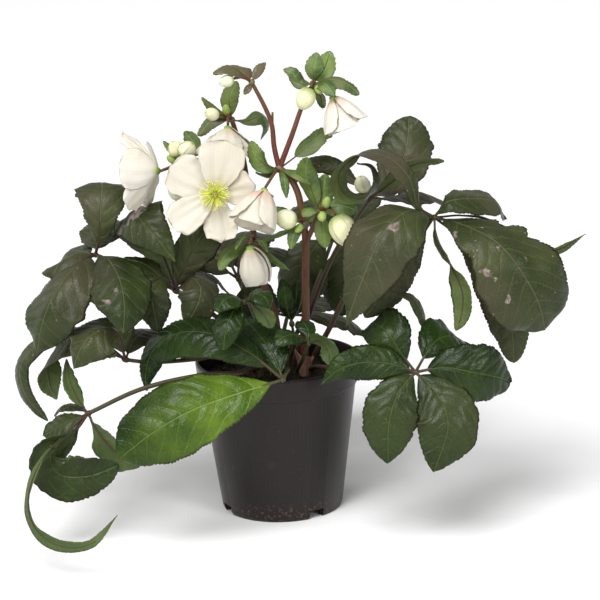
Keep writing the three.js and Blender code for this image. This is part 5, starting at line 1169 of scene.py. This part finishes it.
def bract(bm, middle, tone, seed, stations, half, facings, droop, bare=0.1):
    """Adds one bract, and the rib under it, to a tuft's mesh."""
    rib = Rib([middle] + [at(station) for station in stations])
    fold = radians(droop)
    rows = TOOTH_ROWS * max(6, round(rib.length / 3.6))
    columns = 2 * max(4, round(half / 0.9))

    def formula(s, share):
        t = bare + (1 - bare) * share
        across, normal = blade_axes(rib, facings, t)
        edge = np.abs(s)
        row = np.round(share * rows).astype(int)
        bite = (1 - row % TOOTH_ROWS / 2) * clamp((share - 0.4) * 6) * clamp((1 - share) * 10)
        wide = half * outline(share, 0.5, 1.4) * (1 + 0.04 * drift(share * 2, seed))
        reach = wide - 0.09 * half * bite * edge**6
        x, y = s * wide, (t - bare) * rib.length
        vein = side_veins(x, y, seed)
        puff = 0.16 * panels(vein, BRACT_VEINS) * clamp(np.abs(x)) * (1 - edge**4)
        wave = 0.15 * half * np.sin(2 * pi * 1.7 * share + seed + 2.4 * (s > 0)) * edge**2 * share
        groove = 0.25 * np.exp(-(x**2) * 2)
        lift = puff + wave - groove - edge**1.2 * wide * sin(fold) + BRACT_THICK / 2
        places = rib.place(t) + across * (s * reach * cos(fold))[:, None] + normal * lift[:, None]
        mark = stack(tone, share, edge, 0)
        return places, stack(x, y), vein * VEIN_STEP / BRACT_VEINS, mark

    def under(t):
        return -unit(facing_at(facings, t)) * (0.1 + 0.3 * clamp(t * 8))[:, None]

    blade(bm, columns, rows, formula, BRACT_THICK)
    tube(bm, rib, lambda t: 0.75 * (1 - 0.8 * t), 6, max(8, round(rib.length / 3)), STALK, under, 0.8, 0.92)


BROWNED = {"bracts_top_left": 0.75, "bracts_top_right": 0.2, "bracts_fork": 0.15, "bracts_left_top": 0.3}
for number, (name, tuft) in enumerate(TUFTS.items()):
    bm = new_mesh()
    middle = at(tuft["at"])
    for i, form in enumerate(tuft["bracts"]):
        bract(bm, middle, BROWNED.get(name, 0.05) + 0.12 * (i % 3), 2.3 * number + 1.1 * i, *form)
    bmesh.ops.create_icosphere(bm, subdivisions=3, radius=KNOT * tuft["size"] * MM,
        matrix=Matrix.Translation(Vector(middle) * MM))
    for face in bm.faces:
        face.smooth = True
    finish_piece(bm, name, "bract", bract_upper, bract_under, stem_skin)
tell("tufts:", len(TUFTS))

# %% [markdown]
# ## The flowers
#
# Five sepals wrap round the flower's axis like the sides of a bell: a lean that changes from base to tip
# makes an open plate or a closed bell from the same formula. The edge is ruffled and the blade lightly
# pleated along its veins, which is what makes a petal look soft rather than cut from card.

# %% Sepals
# Millimetres: the gap to the stalk's end, the egg's parts below and above the sepals, and its radius.
SEAT, BELOW, ABOVE, RECEPTACLE = 0.4, 3.6, 2.4, 3.1
SEPAL, GREEN_END = 0, 1  # the materials of a flower
SEPAL_VEINS = 6.5  # on each side of a sepal's middle
LEVELS = (0, 1, 0, 1, 2)  # how far back each sepal lies


def flower_frame(axis):
    """The way a flower looks, and what is up and right to one who looks at it."""
    out = unit(facing(axis))
    level = np.array((0.0, -1, 0)) if abs(out[2]) > 0.9 else np.array((0.0, 0, 1))
    up = unit(level - out * level.dot(out))
    return out, up, np.cross(up, out)


def sepal(bm, seat, frame_of, numbers, level, seed, tone, ruffle, broad):
    """Adds one sepal. Its profile is summed up from the leans of many short parts."""
    angle, length, half, base, tip = numbers
    out, up, right = frame_of
    parts = 96
    leans = np.radians(base + (tip - base) * (np.arange(parts) + 0.5) / parts)
    radii = 1.2 + np.concatenate(([0], np.cumsum(np.sin(leans)))) * length / parts
    heights = np.concatenate(([0], np.cumsum(np.cos(leans)))) * length / parts
    stops = np.linspace(0, 1, parts + 1)

    def formula(s, share):
        t = 1 - (1 - share) ** 1.5
        radius, height = np.interp(t, stops, radii), np.interp(t, stops, heights)
        lean = np.radians(base + (tip - base) * t)
        edge = np.abs(s)
        shape = outline(np.clip(t, 0.004, 1), broad, 0.95)
        wide = half * shape * (1 + 0.05 * drift(t * 1.6, seed + 3 * (s > 0)))
        lobes = np.sin(0.55 * s * wide + seed) + 0.4 * np.sin(1.2 * s * wide + 2 * seed)
        point = (1.2 * hump(s * wide / 3) + 0.8 * ruffle * lobes) * t**6
        turn_by = radians(angle) - s * np.minimum(wide / radius, 1.15)
        outward = right * np.cos(turn_by)[:, None] + up * np.sin(turn_by)[:, None]
        normal = out * np.sin(lean)[:, None] - outward * np.cos(lean)[:, None]

        # The relief: a waved edge, a slow wave across, pleats along the veins and a lightly cupped middle.
        waves = np.sin(2 * pi * 1.9 * t + seed + 2.2 * (s > 0)) + 0.5 * np.sin(2 * pi * 4.3 * t + 2 * seed)
        lift = 1.2 * ruffle * waves * edge**2.2 * t**1.5
        lift += 0.8 * ruffle * np.sin(1.7 * s * pi + seed) * t**2
        lift += 0.07 * np.cos(2 * pi * s * SEPAL_VEINS) * clamp(3 * t) * (1 - edge)
        lift += 0.45 * np.cos(2 * pi * s * 1.6 + seed) * np.sin(pi * t) * (1 - edge**2)
        lift += 0.7 * edge**2 * np.sin(pi * t) - 1.25 * level
        places = seat + outward * (radius + point)[:, None] + out * height[:, None] + normal * lift[:, None]
        mark = stack(tone, t, edge, 0)
        return places, stack(s * wide, t * length), s * SEPAL_VEINS, mark

    blade(bm, 24, 34, formula, SEPAL_THICK, SEPAL, SEPAL)


BLUSH = {"flower_front": 0.05, "flower_left": 0.12, "flower_nodding": 0.7, "flower_turned": 1.0,
    "flower_top": 0.8, "flower_closed": 0.3}
RUFFLE = {"flower_front": (0.7, 0.9, 1.1, 1.5, 1.0), "flower_closed": (0.35,) * 5}
# These flowers face away from the key light and take the lighter sepal finish: light painted into their
# colour.
PAINTED_LIGHTER = ("flower_left", "flower_top")
for number, (name, bloom) in enumerate(BLOOMS.items()):
    bm = new_mesh()
    frame_of = flower_frame(bloom["axis"])
    out = frame_of[0]
    base = at(bloom["base"]) + out * SEAT
    seat = base + out * BELOW
    egg(bm, base, seat + out * ABOVE, RECEPTACLE, GREEN_END, 16, 14)
    ruffles = RUFFLE.get(name, (0.8, 0.6, 0.9, 0.7, 0.8))
    broad = 0.82 if name == "flower_front" else 0.74
    for i, numbers in enumerate(bloom["sepals"]):
        seed = 1.3 * number + 2.1 * i
        sepal(bm, seat, frame_of, numbers, LEVELS[i], seed, BLUSH[name], ruffles[i], broad)
    finish_piece(bm, name, "sepal", sepal_painted_lighter if name in PAINTED_LIGHTER else sepal_white, bud_green)
tell("flowers:", len(BLOOMS))

# %% [markdown]
# ## Stamens, nectaries and pistils
#
# The flower's middle is what the eye goes to: a sunburst of thin filaments that end in anthers, a ring of
# small green cups that hold nectar, and a few pistils. Each is a thin tube or egg with few faces, since
# there are many of them.

# %% Flower centres
GOLDEN = 0.618034  # of a turn from one stamen to the next, so that none stands behind another
FILAMENT, ANTHER, NECTARY, PISTIL = range(4)  # the materials of a flower's centre
for number, (name, bloom) in enumerate(BLOOMS.items()):
    reach = bloom["stamens"]
    if not reach:
        continue
    rng = np.random.default_rng(40 + number)
    bm = new_mesh()
    out, up, right = flower_frame(bloom["axis"])
    foot = at(bloom["base"]) + out * (2 * SEAT + BELOW + ABOVE)
    spread = radians(min(numbers[3] for numbers in bloom["sepals"]))
    front = reach > 10
    stamens, cups, pistils, cup = (78, 12, 7, 3.6) if front else (26, 8, 4, 2.4)

    def outward(angle, lean):
        return (right * cos(angle) + up * sin(angle)) * sin(lean) + out * cos(lean)

    for i in range(stamens):
        angle = 2 * pi * (i * GOLDEN + rng.uniform(-0.02, 0.02))
        low, high = ((0.94, 1.03) if i % 3 else (0.45, 0.8)) if front else (0.15, 0.6)
        lean = spread * rng.uniform(low, high)
        long = reach * rng.uniform(0.88, 0.98) * (1 if front else 0.9)
        start = foot + outward(angle, pi / 2) * 1.5 + out * 0.3
        knee = start + outward(angle, lean * 1.06) * long * 0.55
        end = knee + outward(angle + rng.uniform(-0.08, 0.08), lean * rng.uniform(0.8, 0.97)) * long * 0.45
        tube(bm, Rib([start, knee, end], 8), lambda t: 0.46 - 0.16 * t, 4, 6, FILAMENT)
        tilt = outward(angle + rng.uniform(-0.8, 0.8), rng.uniform(0.4, 1.4))
        egg(bm, end - tilt * 0.8, end + tilt, 0.6, ANTHER, 6, 5)
    for i in range(cups):
        angle = 2 * pi * i / cups + 0.2
        start = foot + outward(angle, pi / 2) * 1.7 + out * 0.4
        end = start + outward(angle, spread * 0.92) * cup
        bow = [start, (start + end) / 2 + out * 0.2, end]
        tube(bm, Rib(bow, 6), lambda t: 0.45 + 0.5 * t, 7, 6, NECTARY)
    for i in range(pistils):
        angle = 2 * pi * i / pistils + 0.6
        start = foot + outward(angle, pi / 2) * 0.8
        end = start + outward(angle, 0.16) * reach * 0.62
        egg(bm, start, start + (end - start) * 0.62, 1.0, PISTIL, 7, 8)
        style = [start + (end - start) * 0.4, start + (end - start) * 0.7, end]
        tube(bm, Rib(style, 6), lambda t: 0.3, 5, 6, PISTIL)
    egg(bm, foot, foot + out * reach * 0.3, 1.7, NECTARY, 10, 8)
    finish_piece(bm, name + "_stamens", "stamen", filament, anther, nectary, pistil)
tell("flower centres:", sum(1 for bloom in BLOOMS.values() if bloom["stamens"]))

# %% [markdown]
# ## The buds
#
# A bud is five sepals wrapped over each other: a plain egg looks like a bead. Each shell is a grid wrapped
# round the egg with one edge lifted over its neighbour and the other tucked under.

# %% Buds
SHELLS = 5


def shell(bm, base, tip, radius, turn_by):
    """Adds one of the sepals that wrap a bud."""
    way = unit(tip - base)
    length = np.linalg.norm(tip - base)
    normal = unit(np.cross(way, (0.3, -0.9, 0.2)))
    side = np.cross(way, normal)

    def formula(s, t):
        angle = turn_by + 0.86 * s * (1 - 0.25 * t)
        swell = radius * outline(np.clip(t, 0.001, 0.999), 0.44, 0.95)
        lift = 0.08 * radius * (0.1 + 0.9 * (s + 1) / 2) * np.sin(pi * clamp(t)) ** 0.5
        lift += 0.03 * radius * np.sin(5 * t + 2 * turn_by) * np.abs(s) ** 3 - 0.02 * radius
        lift -= 0.02 * radius * hump(s / 0.08)
        ring = normal * np.cos(angle)[:, None] + side * np.sin(angle)[:, None]
        places = base + way * (t * length)[:, None] + ring * (swell + lift * (t < 0.999))[:, None]
        return places, stack(s * radius, t * length), s * 3.5, stack(0.1, t, np.abs(s), 0)

    blade(bm, 16, 24, formula, SHELL_THICK, SEPAL, SEPAL)


for name, (end, tip, radius) in BUDS.items():
    bm = new_mesh()
    end, tip = at(end), at(tip)
    base = end + unit(tip - end) * SEAT
    egg(bm, base, tip, radius * 0.95, SEPAL, 20, 20)
    for k in range(SHELLS):
        shell(bm, base, tip, radius, 2 * pi * k / SHELLS)
    finish_piece(bm, name, "bud", bud_cream)
tell("buds:", len(BUDS))

# %% [markdown]
# ## Soil
#
# Peat fills the pot to a finger's width below its rim. The top is a dome with lumps from noise, and loose
# crumbs lie on it. Displacing a dense plane would do as well, but bending one closed sheet round the whole
# plug keeps it a solid.

# %% Peat finish
f = Finish("peat", roughness=0.95, specular=0.2)
grain = f.band(f.noise(260, 5), 0.35, 0.65)
f.color = f.mix(grain, (0.008, 0.006, 0.004), (0.030, 0.021, 0.013))
f.paint((0.018, 0.020, 0.008), f.band(f.noise(60, 3), 0.5, 0.7), 0.6)
f.paint((0.10, 0.075, 0.045), f.band(f.cells(420)["Color"], 0.88, 0.93), 0.6)
f.relief(f.add(f.noise(380, 5), f.times(grain, 0.5)), 1.2)
peat = f.finish()
print("finish:", peat.name)

# %% Soil
PLUG = [(0, 9.35), (45.4, 9.35), (58.8, 101.4), (60.8, 104.6)]  # the plug's section, up to the dome
PLUG_ROWS, SIDE_ROWS = 60, 12
DOME_RADIUS, DOME_FALL = 60.8, 3.2
CRUMBS, CRUMB_REACH, CRUMB_SIZE = 430, 56, (0.7, 2.3)


def swells(x, y):
    return 1.1 * (np.sin(0.31 * x + 0.17 * y) + np.sin(0.37 * y - 0.11 * x))


def dome_at(share):
    """The height of the dome at a share of its radius."""
    return SOIL_TOP - DOME_FALL * share**3


def plug(s, t):
    row = t * PLUG_ROWS
    low = np.clip(row / 4, 0, 3)
    share = clamp((PLUG_ROWS - row) / (PLUG_ROWS - SIDE_ROWS))
    dome = row > SIDE_ROWS
    radius = np.where(dome, DOME_RADIUS * share, np.interp(low, range(4), [r for r, _ in PLUG]))
    angle = pi * (s + 1)
    x, y = radius * np.cos(angle), radius * np.sin(angle)
    rough = np.array([field.fractal(Vector((a, b, 3)) * 0.16, 0.9, 2.0, 4) for a, b in zip(x, y)])
    lumps = (swells(x, y) + 1.3 * rough) * clamp((1 - share) * 8)
    height = np.where(dome, dome_at(share) + lumps, np.interp(low, range(4), [z for _, z in PLUG]))
    return stack(x, y, height), stack(x, y), s * 0, np.zeros((len(s), 4))


bm = new_mesh()
bend(bm, 120, PLUG_ROWS, plug, 0)
rng = np.random.default_rng(7)
for _ in range(CRUMBS):
    radius, angle = CRUMB_REACH * rng.uniform() ** 0.5, rng.uniform(0, 2 * pi)
    size = rng.uniform(*CRUMB_SIZE) * rng.uniform(0.6, 1)
    x, y = radius * cos(angle), radius * sin(angle)
    z = dome_at(radius / DOME_RADIUS) + swells(x, y) + 0.3 * size
    matrix = Matrix.Translation(Vector((x, y, z)) * MM) @ Matrix.Rotation(rng.uniform(0, 6), 4, "Z")
    matrix = matrix @ Matrix.Diagonal((1, rng.uniform(0.6, 1), rng.uniform(0.5, 0.9), 1))
    crumb = bmesh.ops.create_icosphere(bm, subdivisions=1, radius=size * MM, matrix=matrix)["verts"]
    for vert in crumb:
        vert.co += Vector(rng.uniform(-0.2, 0.2, 3)) * size * MM
finish_piece(bm, "soil", "soil", peat)
print("soil triangles:", made[-1][1])

# %% [markdown]
# ## The pot
#
# A grower's pot is formed in one go from thin plastic: a thin wall with draft, a deep collar under the rim
# for stiffness, and a raised foot with notches that let water out. Its section is drawn by extruding one
# vertex, spun round the axis and bevelled; the notches and drain holes are then cut with a Boolean.

# %% Pot plastic
f = Finish("pot_plastic", roughness=0.5, specular=0.27)
height = f.axes(f.place)["Z"]
streaks = f.noise(220, 3, f.stretched(f.place, (1, 1, 0.04)))
scuffs = f.band(f.noise(75, 5), 0.62, 0.72)
f.color = f.mix(streaks, (0.0090, 0.0062, 0.0060), (0.0145, 0.0100, 0.0098))
f.paint((0.040, 0.036, 0.036), scuffs, 0.2)
dust = f.times(f.fade(height, 0.004, 0.020), f.band(f.noise(420, 5), 0.54, 0.68))
thin = f.times(f.band(f.noise(900, 3), 0.66, 0.74), 0.5)
f.paint((0.110, 0.062, 0.038), f.math("MINIMUM", 0.7, f.add(dust, thin)))
points = f.cells(110)
f.paint((0.30, 0.26, 0.22), f.band(points["Color"], 0.80, 0.84), f.fade(points["Distance"], 0.03, 0.06), 0.7)
roughness = f.add(0.28, f.times(f.noise(160, 4), 0.10), f.times(scuffs, 0.12), f.times(dust, 0.25))
f.relief(f.add(f.times(streaks, 0.5), f.times(dust, 0.6), f.times(f.noise(1600, 2), 0.12)), 0.12)
pot_plastic = f.finish(roughness)
print("finish:", pot_plastic.name)

# %% Pot
SECTION = [(0, 0), (14, 0), (15, 7.5), (41.6, 7.5), (42.6, 0), (46.6, 0), (47.9, 2.6), (61.3, 102),
    (63.3, 103.2), (65, 119.4), (64.4, 121), (62.6, 121), (61.8, 103.2), (59.8, 101.6), (46.4, 9), (0, 9)]
CORNERS = [SECTION[i] for i in (4, 5, 7, 8, 9, 10, 11)]  # of the foot, the collar and the rim
STEPS, BEVEL, SHARP = 120, 0.35, radians(32)  # of the spin, mm, and the least angle that stays sharp
NOTCH_ANGLES, NOTCH_OUT, NOTCH_SIZE = (34, -65, 214, 115), 47.9, (15, 13, 14)
DRAIN_OUT, DRAIN_RADIUS, DRAIN_DEPTH, DRAIN_HEIGHT = 27, 5, 8, 7.5

bm = new_mesh()
chain = bmesh.ops.create_vert(bm, co=(0, 0, 0))["vert"]
for radius, z in SECTION[1:]:
    chain = bmesh.ops.extrude_vert_indiv(bm, verts=chain)["verts"]
    chain[0].co = (radius * MM, 0, z * MM)
bmesh.ops.spin(bm, geom=bm.verts[:] + bm.edges[:], cent=(0, 0, 0), axis=(0, 0, 1), angle=2 * pi,
    steps=STEPS, use_merge=True)
bmesh.ops.remove_doubles(bm, verts=bm.verts, dist=WELD)
bmesh.ops.recalc_face_normals(bm, faces=bm.faces)


def on_corner(edge):
    """Whether both ends of an edge lie on the ring of the same corner."""
    ends = [((v.co.x**2 + v.co.y**2) ** 0.5 / MM, v.co.z / MM) for v in edge.verts]
    return any(all(abs(r - radius) < 0.05 and abs(h - z) < 0.01 for r, h in ends) for radius, z in CORNERS)


bmesh.ops.bevel(bm, geom=[edge for edge in bm.edges if on_corner(edge)], offset=BEVEL * MM, affect="EDGES",
    offset_type="OFFSET", segments=2, profile=0.5, material=-1)
pot = finish_piece(bm, "pot", "pot_plastic", pot_plastic)

cutters = bmesh.new()
for angle in NOTCH_ANGLES:
    turned = Matrix.Rotation(radians(angle - 90), 4, "Z") @ Matrix.Scale(MM, 4)
    notch = turned @ Matrix.Translation((NOTCH_OUT, 0, 0)) @ Matrix.Diagonal((*NOTCH_SIZE, 1))
    bmesh.ops.create_cube(cutters, size=1.0, matrix=notch)
    bmesh.ops.create_cone(cutters, cap_ends=True, segments=32, radius1=DRAIN_RADIUS, radius2=DRAIN_RADIUS,
        depth=DRAIN_DEPTH, matrix=turned @ Matrix.Translation((DRAIN_OUT, 0, DRAIN_HEIGHT)))
cutter = mesh_object(cutters, "cutters")
cut = pot.modifiers.new("cut", "BOOLEAN")
cut.operation = "DIFFERENCE"
cut.solver = "EXACT"
cut.object = cutter
whole, blocks = pot.data, cutter.data
pot.data = bpy.data.meshes.new_from_object(pot.evaluated_get(bpy.context.evaluated_depsgraph_get()))
pot.data.name = "pot_fine"
pot.modifiers.clear()
bpy.data.objects.remove(cutter)
for mesh in (blocks, whole):
    bpy.data.meshes.remove(mesh)
for polygon in pot.data.polygons:
    polygon.use_smooth = True
pot.data.set_sharp_from_angle(angle=SHARP)
print("pot polygons:", len(pot.data.polygons))

# %% [markdown]
# ## The studio
#
# A pale floor that fills the view, an even sky and one broad light from the upper left front give the
# soft, nearly shadowless light of a plant portrait. A soft box adds to it from the left, and two weaker
# lights, from the right and from behind at the left, lift the dark sides.

# %% Floor and light
FLOOR_HALF, FLOOR_BACK, SKY = 7.0, 3.5, 0.40  # metres, metres, strength
f = Finish("floor_paper", roughness=0.9, specular=0.1)
f.color = f.mix(f.noise(30, 4), (0.86, 0.86, 0.86), (0.89, 0.89, 0.89))
f.relief(f.noise(400, 3), 0.05)
paper = f.finish()
bm = bmesh.new()
bmesh.ops.create_grid(bm, x_segments=4, y_segments=4, size=FLOOR_HALF,
    matrix=Matrix.Translation((0, FLOOR_BACK, 0)))
floor = mesh_object(bm, "floor")
floor.data.materials.append(paper)
floor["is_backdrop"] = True

world = bpy.data.worlds.new("sky")
bpy.context.scene.world = world
world.use_nodes = True
sky = world.node_tree.nodes["Background"].inputs
sky["Color"].default_value = (1, 1, 1, 1)
sky["Strength"].default_value = SKY


def light(name, kind, place, size, power):
    """A light at a place in metres that shines on the plant."""
    lamp = bpy.data.lights.new(name, kind)
    lamp.energy = power
    if kind == "SUN":
        lamp.angle = size
    else:
        lamp.size = size
    body = add_object(name, lamp)
    body.location = place
    body.rotation_euler = (Vector((0, 0, 0.2)) - Vector(place)).to_track_quat("-Z", "Y").to_euler()


light("key", "SUN", (-0.45, -1.05, 1.9), radians(34), 2.75)
light("soft_box", "AREA", (-0.8, -1.5, 1.0), 0.5, 7)
light("fill", "AREA", (1.2, -1.4, 0.9), 0.5, 9)
light("side", "AREA", (-1.5, 0.5, 0.8), 1.0, 6)

# %% Boxes and finish
fine_box = [list(corner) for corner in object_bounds()]
for label, box in (("drafted", DRAFT_BOX), ("fine", fine_box)):
    print(label, [[round(v, 4) for v in corner] for corner in box])
tell("pieces:", len(made))
